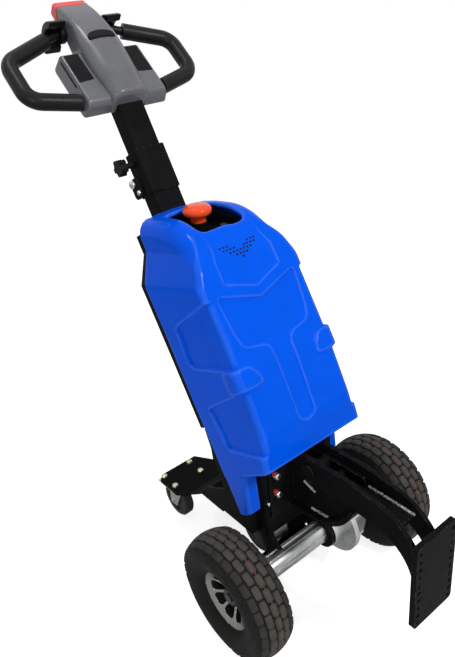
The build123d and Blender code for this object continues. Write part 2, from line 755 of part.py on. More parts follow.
def control_tray():
    length = RECESS_FRONT_X - RECESS_BACK_X
    width = 2 * RECESS_HALF_W
    rim = RectangleRounded(length + 2 * TRAY_WALL, width + 2 * TRAY_WALL, RECESS_ROUND + TRAY_WALL)
    tray = extrude(rim, amount=RECESS_REACH)
    well = extrude(RectangleRounded(length, width, RECESS_ROUND), amount=RECESS_REACH)
    tray -= Pos(0, 0, TRAY_WALL) * well
    scoop = Pos(RECESS_FRONT_X, SCOOP_Y, ROOF_Z + SCOOP_R - SCOOP_SINK - SEAT_GAP) * Sphere(SCOOP_R)
    placed = Pos(RECESS_MID_X, 0, TRAY_FLOOR_Z - TRAY_WALL) * tray
    return (placed & cover_form(COVER_WALL + SEAT_GAP)) - scoop


def emergency_stop():
    rim_z = STOP_TOP_Z - STOP_CAP_H
    base_z = TRAY_FLOOR_Z + STOP_BASE_H
    outline = [
        (0, TRAY_FLOOR_Z), (STOP_BASE_R, TRAY_FLOOR_Z), (STOP_BASE_R, base_z), (STOP_NECK_R, base_z),
        (STOP_NECK_R, rim_z), (STOP_R - STOP_EDGE, rim_z), (STOP_R, rim_z + STOP_EDGE),
        (STOP_R, rim_z + 2 * STOP_EDGE), (STOP_DOME_R, STOP_TOP_Z - STOP_DOME_H), (0, STOP_TOP_Z),
    ]
    return Pos(STOP_X, 0, 0) * turned_up(outline)


def panel_fitting(x, y, radius, height):
    edge = FITTING_EDGE
    outline = [(0, 0), (radius, 0), (radius, height - edge), (radius - edge, height), (0, height)]
    return Pos(x, y, TRAY_FLOOR_Z) * turned_up(outline)


parts["cover"] = cover()
parts["control_tray"] = control_tray()
parts["emergency_stop"] = emergency_stop()
for name, place in FITTINGS.items():
    parts[name] = panel_fitting(*place)


# Battery on its tray

BATTERY_LOW = TRAY_LOW + TRAY_T
BATTERY_BACK = PANEL_FRONT + BATTERY_GAP
parts["battery_tray"] = LEANED * block(
    (PANEL_FRONT, -SIDE_IN_Y, TRAY_LOW), (PANEL_FRONT + TRAY_DEPTH, SIDE_IN_Y, BATTERY_LOW)
)
parts["battery_pack"] = LEANED * block(
    (BATTERY_BACK, -BATTERY_HALF_W, BATTERY_LOW),
    (BATTERY_BACK + BATTERY_DEPTH, BATTERY_HALF_W, BATTERY_LOW + BATTERY_H),
)


# Chassis plates

def side_plate():
    """A wall with a lip turned in at its bottom and a return turned in at its front."""
    ear_along = PANEL_NOTCH - PANEL_NOTCH_GAP
    flange_depth = PANEL_BACK - PANEL_FLANGE
    heel = leaning_to_floor(flange_depth, PANEL_LOW + SIDE_HEEL_RISE)
    outline = closed([
        leaning_to_floor(PANEL_FRONT, ear_along), leaning_to_floor(PANEL_FRONT + PANEL_SEAT, TRAY_LOW),
        leaning_to_floor(depth_at(SIDE_FRONT_X, TRAY_LOW), TRAY_LOW), (SIDE_FRONT_X, SIDE_LOW_Z),
        (SIDE_BACK_X, SIDE_LOW_Z), (SIDE_BACK_X, SIDE_LOW_Z + SIDE_BACK_H),
        (heel[0] - SIDE_HEEL_BACK, heel[1]), leaning_to_floor(flange_depth, ear_along),
    ])
    wall = plate(outline, SIDE_IN_Y, SIDE_OUT_Y)
    lip_y = SIDE_OUT_Y - SIDE_LIP_W
    wall += block((SIDE_BACK_X, lip_y, SIDE_LOW_Z), (SIDE_FRONT_X, SIDE_OUT_Y, SIDE_LOW_Z + PLATE_T))
    return_y = FRONT_HALF_W - PLATE_T
    wall += block((SIDE_FRONT_X - PLATE_T, return_y, SIDE_LOW_Z), (SIDE_FRONT_X, SIDE_OUT_Y, RETURN_HIGH_Z))
    return wall


def front_plate():
    """A channel, notched round the gear case, whose flanges stand on the side plates' returns."""
    length = 2 * (FRONT_X - SIDE_FRONT_X)
    outer = RectangleRounded(length, 2 * FRONT_HALF_W, FRONT_ROUND)
    inner = RectangleRounded(length - 2 * PLATE_T, 2 * (FRONT_HALF_W - PLATE_T), FRONT_ROUND - PLATE_T)
    ring = Pos(SIDE_FRONT_X, 0, FRONT_LOW_Z) * extrude(outer - inner, amount=FRONT_HIGH_Z - FRONT_LOW_Z)
    behind = block((SIDE_FRONT_X - BEYOND, -BEYOND, 0), (SIDE_FRONT_X, BEYOND, 2 * BEYOND))
    notch = rod(CASE_FLANGE_R + FRONT_NOTCH_GAP, CASE_FLANGE_Y - FRONT_NOTCH_GAP, FRONT_HALF_W + PAST)
    return ring - behind - Pos(0, 0, TYRE_R) * notch


def castor_deck():
    """A plate bent up from the castors to the side plates' lips."""
    profile = closed([
        (DECK_BACK_X, DECK_TOP_Z), (DECK_RAMP_X, DECK_TOP_Z), (DECK_STEP_X, SIDE_LOW_Z),
        (DECK_FRONT_X, SIDE_LOW_Z), (DECK_FRONT_X, SIDE_LOW_Z - PLATE_T), (DECK_STEP_X, SIDE_LOW_Z - PLATE_T),
        (DECK_RAMP_X, CASTOR_TOP_Z), (DECK_BACK_X, CASTOR_TOP_Z),
    ])
    half = [
        (DECK_BACK_X, DECK_NOTCH_HALF_W), (DECK_BACK_X, DECK_HALF_W - DECK_CORNER),
        (DECK_BACK_X + DECK_CORNER, DECK_HALF_W), (DECK_NARROW_X, DECK_HALF_W),
        (DECK_NARROW_X + DECK_NARROW_L, SIDE_OUT_Y), (DECK_FRONT_X, SIDE_OUT_Y),
    ]
    plan = closed(half + [(x, -y) for x, y in reversed(half)] + [(DECK_BACK_X + DECK_NOTCH, 0)])
    return plate(profile, -DECK_HALF_W - PAST, DECK_HALF_W + PAST) & extrude(make_face(plan), amount=BEYOND)


for name, side in SIDES.items():
    parts["side_plate_" + name] = on_side(side_plate(), side)
parts["front_plate"] = front_plate()
parts["castor_deck"] = castor_deck()


# Hitch: swan-neck arm, web, pin, bracket and drilled tow plate

def root_hole():
    return Pos(ROOT_PIN_X, 0, ROOT_PIN_Z) * rod(ROOT_PIN_R, -BEYOND, BEYOND)


def arm_plate():
    heel = (TOW_BACK_X, ARM_HEEL_Z)
    root = [(FOOT_X, ROOT_LOW_Z), (FOOT_X, ROOT_HIGH_Z)]
    outline = (
        Polyline(*root, *ARM_TOP)
        + ThreePointArc(ARM_TOP[-1], *ARM_TOP_ARC)
        + Polyline(ARM_TOP_ARC[-1], heel, ARM_UNDER_ARC[0])
        + ThreePointArc(*ARM_UNDER_ARC)
        + Polyline(ARM_UNDER_ARC[-1], *ARM_UNDER, root[0])
    )
    return plate(outline, ARM_IN_Y, ARM_OUT_Y) - root_hole()


def arm_web():
    """The plate between the arm plates, with a round bar along its back edge."""
    web = block((WEB_BACK_X, -ARM_IN_Y, WEB_TOP_Z - WEB_T), (WEB_FRONT_X, ARM_IN_Y, WEB_TOP_Z))
    return web + Pos(WEB_BACK_X, 0, WEB_TOP_Z) * rod(WEB_ROLL_R, -ARM_IN_Y, ARM_IN_Y)


def root_pin():
    end = ARM_OUT_Y + ROOT_PIN_HEAD
    pin = rod(ROOT_PIN_R, -end, end)
    pin += rod(ROOT_PIN_HEAD_R, ARM_OUT_Y, end) + rod(ROOT_PIN_HEAD_R, -end, -ARM_OUT_Y)
    return Pos(ROOT_PIN_X, 0, ROOT_PIN_Z) * pin


def hitch_bracket():
    foot = block(
        (FRONT_X, -BRACKET_FOOT_HALF_W, BRACKET_FOOT_LOW_Z),
        (FOOT_X, BRACKET_FOOT_HALF_W, BRACKET_FOOT_HIGH_Z),
    )
    start, bend = CHIN_LINE
    middle, end = CHIN_ARC
    inside = [(x - CHIN_T, z + CHIN_T) for x, z in (end, middle, bend)]
    start_in = (start[0], start[1] + CHIN_T)
    chin = (
        Line(start, bend) + ThreePointArc(bend, middle, end) + Line(end, inside[0]) + ThreePointArc(*inside)
        + Polyline(inside[2], start_in, start)
    )
    cheek_top = [(FOOT_X, CHEEK_HIGH_Z - CHIN_T), (CHEEK_FRONT_X, CHEEK_HIGH_Z)]
    cheek = Polyline(inside[2], start_in, *cheek_top, inside[0]) + ThreePointArc(*inside)
    bracket = foot + plate(chin, -CHIN_HALF_W, CHIN_HALF_W)
    for side in SIDES.values():
        bracket += on_side(plate(cheek, ARM_IN_Y - BRACKET_T, ARM_IN_Y), side)
    return bracket - root_hole() - parts["arm_plate_left"] - parts["arm_plate_right"] - parts["arm_web"]


def tow_plate():
    height = TOW_HIGH_Z - TOW_LOW_Z
    middle_z = (TOW_LOW_Z + TOW_HIGH_Z) / 2
    face = RectangleRounded(2 * TOW_HALF_W, height, TOW_ROUND)
    for row in range(TOW_HOLE_ROWS):
        z = TOW_HOLE_LOW_Z + row * TOW_HOLE_PITCH - middle_z
        for side in SIDES.values():
            face -= Pos(side * TOW_HOLE_Y, z) * Circle(TOW_HOLE_R)
    return Pos(TOW_BACK_X, 0, middle_z) * extrude(Plane.YZ * face, amount=TOW_T)


for name, side in SIDES.items():
    parts["arm_plate_" + name] = on_side(arm_plate(), side)
parts["arm_web"] = arm_web()
parts["root_pin"] = root_pin()
parts["hitch_bracket"] = hitch_bracket()
parts["tow_plate"] = tow_plate()


# Tiller head, modelled upright and then leaned at the neck

def tube_in_head():
    return LEANED * box_tube(UPPER_W, UPPER_D, TUBE_ROUND - TUBE_WALL, SLEEVE_TOP, UPPER_TOP)


def head_housing():
    start = (NECK_H, -NECK_DROP)
    end = (NOSE_H, HOUSING_L)
    under = [(-NOSE_UNDER, HOUSING_L - TIP_SLANT), (-HOUSING_UNDER, UNDER_TO), (-HOUSING_UNDER, -NECK_DROP)]
    outline = ThreePointArc(start, (HUMP_H, HUMP_AT), end) + Polyline(end, *under, start)
    body = plate(outline, -HOUSING_HALF_W, HOUSING_HALF_W)
    body = fillet(body.edges().filter_by(GeomType.CIRCLE), HOUSING_ROUND)
    return HEAD * body - tube_in_head()


def tip_button():
    outline = closed([
        (NOSE_H, HOUSING_L), (NOSE_H - TIP_DROP, HOUSING_L + TIP_L),
        (-NOSE_UNDER + TIP_RISE, HOUSING_L + TIP_L), (-NOSE_UNDER, HOUSING_L - TIP_SLANT),
    ])
    body = plate(outline, -HOUSING_HALF_W, HOUSING_HALF_W)
    end_face = body.faces().sort_by(Axis.Z)[-1]
    return HEAD * fillet(end_face.edges(), TIP_ROUND)


def wing():
    outline = rounded([
        (-WING_UNDER, WING_LOW), (WING_OVER, WING_LOW), (WING_OVER, WING_HIGH), (-WING_UNDER, WING_HIGH),
    ], WING_ROUND)
    body = plate(outline, HOUSING_HALF_W, WING_OUT)
    end_face = body.faces().sort_by(Axis.Y)[-1]
    return HEAD * fillet(end_face.edges(), WING_END_ROUND) - tube_in_head()


def handle_loop():
    corners = [
        (WING_OUT - WING_END_ROUND, LOOP_LOW), (LOOP_REACH, LOOP_CORNER_LOW), (LOOP_REACH, LOOP_CORNER_HIGH),
        (GRIP_END_Y, LOOP_HIGH),
    ]
    path = Plane.YZ * FilletPolyline(*corners, radius=LOOP_BEND)
    grip = sweep(Plane(origin=path @ 0, z_dir=path % 0) * Circle(LOOP_R), path)
    stretch = (GRIP_END_Y - HOUSING_HALF_W) / (LOOP_REACH - GRIP_END_Y)
    inner_end = (HOUSING_HALF_W, LOOP_HIGH + stretch * (LOOP_HIGH - LOOP_CORNER_HIGH))
    pivot_path = Plane.YZ * Line((GRIP_END_Y, LOOP_HIGH), inner_end)
    pivot = sweep(Plane(origin=pivot_path @ 0, z_dir=pivot_path % 0) * Circle(PIVOT_R), pivot_path)
    housing_side = block((-BEYOND, 0, -BEYOND), (BEYOND, HOUSING_HALF_W, BEYOND))
    return HEAD * (Pos(-LOOP_SINK, 0, 0) * (grip + pivot) - housing_side)


def throttle():
    """A cupped paddle on a hub round the loop's inner end."""
    low_y = HOUSING_HALF_W + THROTTLE_GAP
    slope = (LOOP_HIGH - LOOP_CORNER_HIGH) / (LOOP_REACH - GRIP_END_Y)
    along = LOOP_HIGH + slope * (GRIP_END_Y - low_y - THROTTLE_W / 2)
    top = (THROTTLE_TOP, -THROTTLE_TIP)
    under = (-THROTTLE_UNDER, -THROTTLE_TIP)
    cup = ThreePointArc(top, (0, THROTTLE_CUP), under) + ThreePointArc(under, (0, THROTTLE_BACK), top)
    paddle = plate(cup, low_y, low_y + THROTTLE_W) + rod(THROTTLE_HUB_R, low_y, low_y + THROTTLE_W)
    return HEAD * Pos(-LOOP_SINK, 0, along) * paddle


def rocker_switch():
    """A bar bowed across the hump."""
    low, high = HUMP_AT + ROCKER_ON - ROCKER_L / 2, HUMP_AT + ROCKER_ON + ROCKER_L / 2
    end_y, end_high = ROCKER_W / 2, high - ROCKER_BOW
    outline = (
        Line((-end_y, low), (end_y, low)) + Line((end_y, low), (end_y, end_high))
        + ThreePointArc((end_y, end_high), (0, high), (-end_y, end_high)) + Line((-end_y, end_high), (-end_y, low))
    )
    start = HUMP_H - ROCKER_SINK - ROCKER_H
    bar = Pos(start, 0, 0) * extrude(Plane.YZ * make_face(outline), amount=2 * ROCKER_H)
    return HEAD * bar - parts["head_housing"]


parts["head_housing"] = head_housing()
parts["tip_button"] = tip_button()
parts["rocker_switch"] = rocker_switch()
for name, side in SIDES.items():
    loop = handle_loop() - wing()
    parts["wing_" + name] = on_side(wing(), side)
    parts["handle_loop_" + name] = on_side(loop, side)
    parts["throttle_" + name] = on_side(throttle() - loop, side)


# Castors

def castor_plate():
    half_l = CASTOR_PLATE_L / 2
    half_w = CASTOR_PLATE_W / 2
    pad = block((-half_l, -half_w, SWIVEL_TOP_Z), (half_l, half_w, CASTOR_TOP_Z))
    housing = turned_up([
        (0, SWIVEL_LOW_Z), (SWIVEL_R, SWIVEL_LOW_Z),
        (SWIVEL_R + SWIVEL_TAPER, SWIVEL_TOP_Z), (0, SWIVEL_TOP_Z),
    ])
    return Pos(CASTOR_X, CASTOR_Y, 0) * (pad + housing)


def castor_fork():
    cheek_y = CASTOR_W / 2 + FORK_GAP
    crown_z = CROWN_TOP_Z - CROWN_T
    fork = turned_up([(0, crown_z), (SWIVEL_R, crown_z), (SWIVEL_R, CROWN_TOP_Z), (0, CROWN_TOP_Z)])
    foot_z = CASTOR_R - FORK_FOOT
    outline = rounded([
        (FORK_ROUND - SWIVEL_R, CROWN_TOP_Z), (SWIVEL_R - FORK_ROUND, CROWN_TOP_Z),
        (FORK_FOOT - CASTOR_TRAIL, foot_z), (-CASTOR_TRAIL - FORK_FOOT, foot_z),
        (-CASTOR_TRAIL - FORK_FOOT, CASTOR_R + FORK_KNEE_H),
    ], FORK_ROUND)
    for side in SIDES.values():
        fork += on_side(plate(outline, cheek_y, cheek_y + FORK_T), side)
    pin_end = cheek_y + FORK_T + CASTOR_PIN_OVER
    fork += Pos(-CASTOR_TRAIL, 0, CASTOR_R) * rod(CASTOR_PIN_R, -pin_end, pin_end)
    return Pos(CASTOR_X, CASTOR_Y, 0) * fork


def castor_wheel():
    half = CASTOR_W / 2
    bore = CASTOR_PIN_R + PIN_PLAY
    sunk = half - CASTOR_DISC_SINK
    upper = [
        (CASTOR_R, half - CASTOR_EDGE), (CASTOR_R - CASTOR_EDGE, half), (CASTOR_DISC_R, half),
        (CASTOR_DISC_R, sunk), (CASTOR_HUB_R, sunk), (CASTOR_HUB_R, half + CASTOR_HUB_OVER),
        (bore, half + CASTOR_HUB_OVER),
    ]
    outline = upper + [(r, -y) for r, y in reversed(upper)]
    return Pos(CASTOR_X - CASTOR_TRAIL, CASTOR_Y, CASTOR_R) * turned(outline)


for name, side in SIDES.items():
    parts["castor_plate_" + name] = on_side(castor_plate(), side)
    parts["castor_fork_" + name] = on_side(castor_fork(), side)
    parts["castor_wheel_" + name] = on_side(castor_wheel(), side)


# Written with the origin on the floor, midway along the length
boxes = [shape.bounding_box() for shape in parts.values()]
middle_x = (min(box.min.X for box in boxes) + max(box.max.X for box in boxes)) / 2
for name, shape in parts.items():
    export_step(Pos(-middle_x, 0, 0) * shape, "parts/" + name + ".step")
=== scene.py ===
"""Looks of an electric tow tractor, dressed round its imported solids, in metres."""
import bmesh
import json
import bpy
import numpy as np
from math import atan2, cos, hypot, pi, radians, sin
from mathutils import Matrix, Vector


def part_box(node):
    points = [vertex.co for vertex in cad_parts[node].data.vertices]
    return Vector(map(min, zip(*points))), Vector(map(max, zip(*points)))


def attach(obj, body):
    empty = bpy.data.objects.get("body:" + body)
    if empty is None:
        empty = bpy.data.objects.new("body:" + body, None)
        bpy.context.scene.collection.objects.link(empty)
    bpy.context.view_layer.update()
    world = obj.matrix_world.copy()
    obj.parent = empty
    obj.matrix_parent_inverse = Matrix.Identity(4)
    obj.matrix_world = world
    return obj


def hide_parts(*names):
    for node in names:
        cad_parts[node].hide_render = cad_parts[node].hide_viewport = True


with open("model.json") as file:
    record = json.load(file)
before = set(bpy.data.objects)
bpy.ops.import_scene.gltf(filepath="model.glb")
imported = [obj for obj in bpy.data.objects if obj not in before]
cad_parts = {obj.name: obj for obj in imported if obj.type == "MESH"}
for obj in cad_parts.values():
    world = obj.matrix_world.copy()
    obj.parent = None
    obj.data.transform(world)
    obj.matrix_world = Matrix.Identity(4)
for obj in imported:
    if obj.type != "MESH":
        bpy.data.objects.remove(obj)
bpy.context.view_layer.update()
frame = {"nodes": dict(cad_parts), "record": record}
nodes = frame["nodes"]


def middle(node_name):
    """Middle of a solid's box."""
    low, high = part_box(node_name)
    return (low + high) / 2


AXLE_X = middle("tyre_left").x
SIDES = {"left": 1, "right": -1}


def linked(name, data):
    """A new object in the scene."""
    made = bpy.data.objects.new(name, data)
    bpy.context.scene.collection.objects.link(made)
    return made


# Node helpers, for shaders and for geometry

def put(tree, kind, inputs=None, **settings):
    """A new node with its settings, each input either linked or given a value."""
    made = tree.nodes.new(kind)
    for key, value in settings.items():
        setattr(made, key, value)
    for key, value in (inputs or {}).items():
        if isinstance(value, bpy.types.NodeSocket):
            tree.links.new(value, made.inputs[key])
        else:
            made.inputs[key].default_value = value
    return made


def number(tree, operation, first, second=0.0):
    """A sum on one or two numbers."""
    return put(tree, "ShaderNodeMath", {0: first, 1: second}, operation=operation).outputs[0]


def between(tree, value, low, high):
    """How far a value has come from one limit to the other, from 0 to 1."""
    made = put(tree, "ShaderNodeMapRange", {"Value": value, "From Min": low, "From Max": high})
    return made.outputs["Result"]


def noise(tree, scale, detail):
    """Noise laid on the piece's own coordinates."""
    place = put(tree, "ShaderNodeTexCoord").outputs["Object"]
    made = put(tree, "ShaderNodeTexNoise", {"Vector": place, "Scale": scale, "Detail": detail})
    return made.outputs["Fac"]


def effect(name, inputs, outputs):
    """An empty shader group with named sockets: inputs as (kind, value), outputs as a kind."""
    tree = bpy.data.node_groups.new(name, "ShaderNodeTree")
    for label, (kind, value) in inputs.items():
        socket = tree.interface.new_socket(label, in_out="INPUT", socket_type="NodeSocket" + kind)
        socket.default_value = value
    for label, kind in outputs.items():
        tree.interface.new_socket(label, in_out="OUTPUT", socket_type="NodeSocket" + kind)
    return tree, tree.nodes.new("NodeGroupInput").outputs, tree.nodes.new("NodeGroupOutput").inputs


# Shared effects: limits that each mask rises between, in noise, in the turn at an edge or in a crest's bend
DRIFT_FROM, DRIFT_TO, DRIFT_DETAIL = 0.3, 0.7, 5.0
BREAK_FROM, BREAK_TO, BREAK_DETAIL, BREAK_SCALE = 0.45, 0.65, 4.0, 120.0
EDGE_FROM, EDGE_TO, EDGE_SAMPLES = 0.98, 0.8, 4
# Pointiness limits of a painted highlight on rounded crests
CREST_SHEEN_FROM, CREST_SHEEN_TO = 0.507, 0.525
GRAIN_DETAIL, GRAIN_DEPTH = 3.0, 0.001


def mottle_effect():
    """Slow drift between two colours and two roughnesses."""
    tree, given, out = effect(
        "mottle",
        {
            "Scale": ("Float", 20.0), "Colour": ("Color", (1, 1, 1, 1)), "Other": ("Color", (1, 1, 1, 1)),
            "Smooth": ("Float", 0.3), "Rough": ("Float", 0.5),
        },
        {"Colour": "Color", "Roughness": "Float"},
    )
    share = between(tree, noise(tree, given["Scale"], DRIFT_DETAIL), DRIFT_FROM, DRIFT_TO)
    mixed = put(tree, "ShaderNodeMixRGB", {"Fac": share, "Color1": given["Colour"], "Color2": given["Other"]})
    rough = put(
        tree, "ShaderNodeMapRange", {"Value": share, "To Min": given["Smooth"], "To Max": given["Rough"]},
    )
    tree.links.new(mixed.outputs["Color"], out["Colour"])
    tree.links.new(rough.outputs["Result"], out["Roughness"])
    return tree


def edge_effect():
    """Rounded normal at sharp edges, and a mask of rubbed wear and painted highlight: broken along sharp
    edges, and even on rounded crests.
    """
    tree, given, out = effect(
        "rubbed_and_sheen_edge",
        {"Radius": ("Float", 0.001), "Amount": ("Float", 0.5), "Sheen": ("Float", 0.0)},
        {"Mask": "Float", "Normal": "Vector"},
    )
    soft = put(tree, "ShaderNodeBevel", {"Radius": given["Radius"]}, samples=EDGE_SAMPLES)
    flat = put(tree, "ShaderNodeNewGeometry")
    turn = put(
        tree, "ShaderNodeVectorMath", {0: soft.outputs["Normal"], 1: flat.outputs["Normal"]},
        operation="DOT_PRODUCT",
    )
    edge = between(tree, turn.outputs["Value"], EDGE_FROM, EDGE_TO)
    broken = between(tree, noise(tree, BREAK_SCALE, BREAK_DETAIL), BREAK_FROM, BREAK_TO)
    # Rubbed wear, and on some finishes a painted highlight, broken along sharp edges
    rub_and_sheen = number(tree, "MULTIPLY", number(tree, "MULTIPLY", edge, broken), given["Amount"])
    # A painted highlight on rounded crests, where the surface bends
    bend = between(tree, flat.outputs["Pointiness"], CREST_SHEEN_FROM, CREST_SHEEN_TO)
    mask = number(tree, "MAXIMUM", rub_and_sheen, number(tree, "MULTIPLY", bend, given["Sheen"]))
    tree.links.new(mask, out["Mask"])
    tree.links.new(soft.outputs["Normal"], out["Normal"])
    return tree


def grain_effect():
    """Fine relief all over."""
    tree, given, out = effect("grain", {"Scale": ("Float", 400.0)}, {"Height": "Float"})
    tree.links.new(noise(tree, given["Scale"], GRAIN_DETAIL), out["Height"])
    return tree


MOTTLE = mottle_effect()
EDGE = edge_effect()
GRAIN = grain_effect()


# Finishes: one row each, with the values that differ from these defaults
# Drift and grain are noise scales, rim is the radius of edges, and the edge and crest shares give how much
# edge colour is laid on: rubbed wear, and on some finishes a painted highlight
PLAIN = {
    "metal": 0.0, "specular": 0.5, "drift": 25.0, "grain": 600.0, "relief": 0.05, "rim": 0.0008,
    "rub_and_sheen_colour": (0.3, 0.3, 0.3), "rub_and_sheen_share": 0.25, "crest_sheen": 0.0,
}
FINISHES = {
    # Pale blue on its edges and crests: a painted highlight
    "blue_cover": dict(
        colour=(0.0, 0.098, 0.83), other=(0.0, 0.090, 0.77), smooth=0.10, rough=0.16, specular=0.045,
        grain=90.0, relief=0.02, rim=0.002, rub_and_sheen_colour=(0.20, 0.42, 1.0), rub_and_sheen_share=0.4, crest_sheen=0.12,
    ),
    # Light grey on its edges: a painted highlight, with some rubbed wear
    "black_steel": dict(
        colour=(0.006, 0.006, 0.0065), other=(0.009, 0.009, 0.0095), smooth=0.34, rough=0.5, specular=0.015,
        grain=900.0, relief=0.12, rim=0.0016, rub_and_sheen_colour=(0.19, 0.19, 0.20), rub_and_sheen_share=0.75,
    ),
    "cast_aluminium": dict(
        colour=(0.60, 0.61, 0.62), other=(0.40, 0.41, 0.42), smooth=0.24, rough=0.45, metal=1.0,
        grain=1200.0, relief=0.12, rub_and_sheen_colour=(0.85, 0.85, 0.86), rub_and_sheen_share=0.5,
    ),
    "tyre_rubber": dict(
        colour=(0.010, 0.010, 0.010), other=(0.018, 0.0175, 0.016), smooth=0.55, rough=0.8, specular=0.08,
        drift=40.0, grain=900.0, relief=0.2, rub_and_sheen_colour=(0.14, 0.14, 0.135), rub_and_sheen_share=0.6,
    ),
    "rim_paint": dict(
        colour=(0.012, 0.012, 0.013), other=(0.02, 0.02, 0.021), smooth=0.2, rough=0.35,
        rub_and_sheen_colour=(0.5, 0.5, 0.5), rub_and_sheen_share=0.3,
    ),
    "axle_steel": dict(
        colour=(0.5, 0.5, 0.51), other=(0.38, 0.38, 0.39), smooth=0.25, rough=0.45, metal=1.0,
        rub_and_sheen_colour=(0.7, 0.7, 0.7),
    ),
    # Light grey on its edges: rubbed wear and a painted highlight
    "grey_housing": dict(
        colour=(0.100, 0.103, 0.115), other=(0.118, 0.121, 0.134), smooth=0.26, rough=0.36,
        grain=1400.0, relief=0.08, rim=0.0015, rub_and_sheen_colour=(0.2, 0.2, 0.22),
    ),
    "black_plastic": dict(
        colour=(0.006, 0.006, 0.0065), other=(0.009, 0.009, 0.0095), smooth=0.2, rough=0.34, specular=0.09,
        grain=1200.0, relief=0.08, rub_and_sheen_colour=(0.06, 0.06, 0.062),
    ),
    "loop_black": dict(
        colour=(0.006, 0.006, 0.0065), other=(0.009, 0.009, 0.0095), smooth=0.34, rough=0.44, specular=0.16,
        grain=1200.0, relief=0.02, rim=0.0001, rub_and_sheen_share=0.0,
    ),
    "red_tip": dict(
        colour=(0.76, 0.095, 0.090), other=(0.70, 0.080, 0.075), smooth=0.28, rough=0.4, specular=0.2,
        rim=0.0015, rub_and_sheen_colour=(0.9, 0.2, 0.17),
    ),
    "stop_red": dict(
        colour=(0.92, 0.085, 0.022), other=(0.84, 0.066, 0.016), smooth=0.1, rough=0.18, specular=0.25,
        rim=0.001, rub_and_sheen_colour=(0.9, 0.15, 0.06),
    ),
    "battery_case": dict(
        colour=(0.03, 0.03, 0.035), other=(0.045, 0.045, 0.05), smooth=0.45, rough=0.6,
    ),
    "castor_steel": dict(
        colour=(0.55, 0.56, 0.55), other=(0.42, 0.43, 0.42), smooth=0.3, rough=0.5, metal=1.0,
        rub_and_sheen_colour=(0.75, 0.75, 0.72), rub_and_sheen_share=0.4,
    ),
    "tread_rubber": dict(
        colour=(0.050, 0.048, 0.042), other=(0.076, 0.073, 0.064), smooth=0.55, rough=0.8, specular=0.12,
        drift=40.0, grain=900.0, relief=0.2, rub_and_sheen_colour=(0.2, 0.2, 0.195), rub_and_sheen_share=0.6,
    ),
    # A darker copy of the tread rubber for the outer rows of blocks: a painted shade on the shoulders
    "shaded_shoulder_rubber": dict(
        colour=(0.026, 0.025, 0.023), other=(0.042, 0.040, 0.036), smooth=0.55, rough=0.8, specular=0.1,
        drift=40.0, grain=900.0, relief=0.2, rub_and_sheen_colour=(0.15, 0.15, 0.145), rub_and_sheen_share=0.6,
    ),
    "matt_pad": dict(
        colour=(0.012, 0.012, 0.0125), other=(0.018, 0.018, 0.0185), smooth=0.6, rough=0.75, specular=0.03,
        grain=1500.0, relief=0.2, rub_and_sheen_colour=(0.06, 0.06, 0.06),
    ),
    "mould_red": dict(
        colour=(0.20, 0.065, 0.06), other=(0.11, 0.05, 0.045), smooth=0.6, rough=0.8, specular=0.25,
    ),
    "mark_red": dict(
        colour=(0.55, 0.03, 0.02), other=(0.42, 0.02, 0.015), smooth=0.4, rough=0.6, specular=0.2,
    ),
    # Dark paint with bright grey patches: partly bare metal, partly painted glints
    "weld_bare_and_glint": dict(
        colour=(0.012, 0.012, 0.013), other=(0.80, 0.81, 0.82), smooth=0.3, rough=0.5, drift=260.0,
        rub_and_sheen_colour=(0.9, 0.9, 0.9),
    ),
    "machined_lip": dict(
        colour=(0.31, 0.305, 0.285), other=(0.25, 0.245, 0.23), smooth=0.2, rough=0.32, metal=1.0,
        rub_and_sheen_colour=(0.8, 0.8, 0.8),
    ),
    "bolt_steel": dict(
        colour=(0.66, 0.66, 0.66), other=(0.5, 0.5, 0.5), smooth=0.22, rough=0.4, metal=1.0,
        rub_and_sheen_colour=(0.8, 0.8, 0.8),
    ),
    "zinc_bolt": dict(
        colour=(0.62, 0.55, 0.36), other=(0.5, 0.46, 0.32), smooth=0.28, rough=0.45, metal=1.0,
        rub_and_sheen_colour=(0.8, 0.75, 0.6),
    ),
    "castor_rubber": dict(
        colour=(0.02, 0.02, 0.02), other=(0.032, 0.032, 0.031), smooth=0.5, rough=0.7, specular=0.3,
        rub_and_sheen_colour=(0.1, 0.1, 0.1),
    ),
}


def make_finish(name):
    """A finish's shader: drifting colour, edges lightened by rubbed wear and painted highlight, and fine
    relief.
    """
    row = {**PLAIN, **FINISHES[name]}
    material = bpy.data.materials.new(name)
    material.use_nodes = True
    tree = material.node_tree
    shader = tree.nodes["Principled BSDF"]
    mottle = put(
        tree, "ShaderNodeGroup",
        {
            "Scale": row["drift"], "Colour": (*row["colour"], 1), "Other": (*row["other"], 1),
            "Smooth": row["smooth"], "Rough": row["rough"],
        },
        node_tree=MOTTLE,
    )
    edge = put(
        tree, "ShaderNodeGroup", {"Radius": row["rim"], "Amount": row["rub_and_sheen_share"], "Sheen": row["crest_sheen"]},
        node_tree=EDGE,
    )
    grain = put(tree, "ShaderNodeGroup", {"Scale": row["grain"]}, node_tree=GRAIN)
    # Edge colour over the drifting colour: rubbed wear, and on the blue cover, black steel and grey housing a
    # painted highlight
    skin = put(
        tree, "ShaderNodeMixRGB",
        {"Fac": edge.outputs["Mask"], "Color1": mottle.outputs["Colour"], "Color2": (*row["rub_and_sheen_colour"], 1)},
    )
    bump = put(
        tree, "ShaderNodeBump",
        {
            "Strength": row["relief"], "Distance": GRAIN_DEPTH, "Height": grain.outputs["Height"],
            "Normal": edge.outputs["Normal"],
        },
    )
    tree.links.new(skin.outputs["Color"], shader.inputs["Base Color"])
    tree.links.new(mottle.outputs["Roughness"], shader.inputs["Roughness"])
    tree.links.new(bump.outputs["Normal"], shader.inputs["Normal"])
    shader.inputs["Metallic"].default_value = row["metal"]
    shader.inputs["Specular IOR Level"].default_value = row["specular"]
    return material


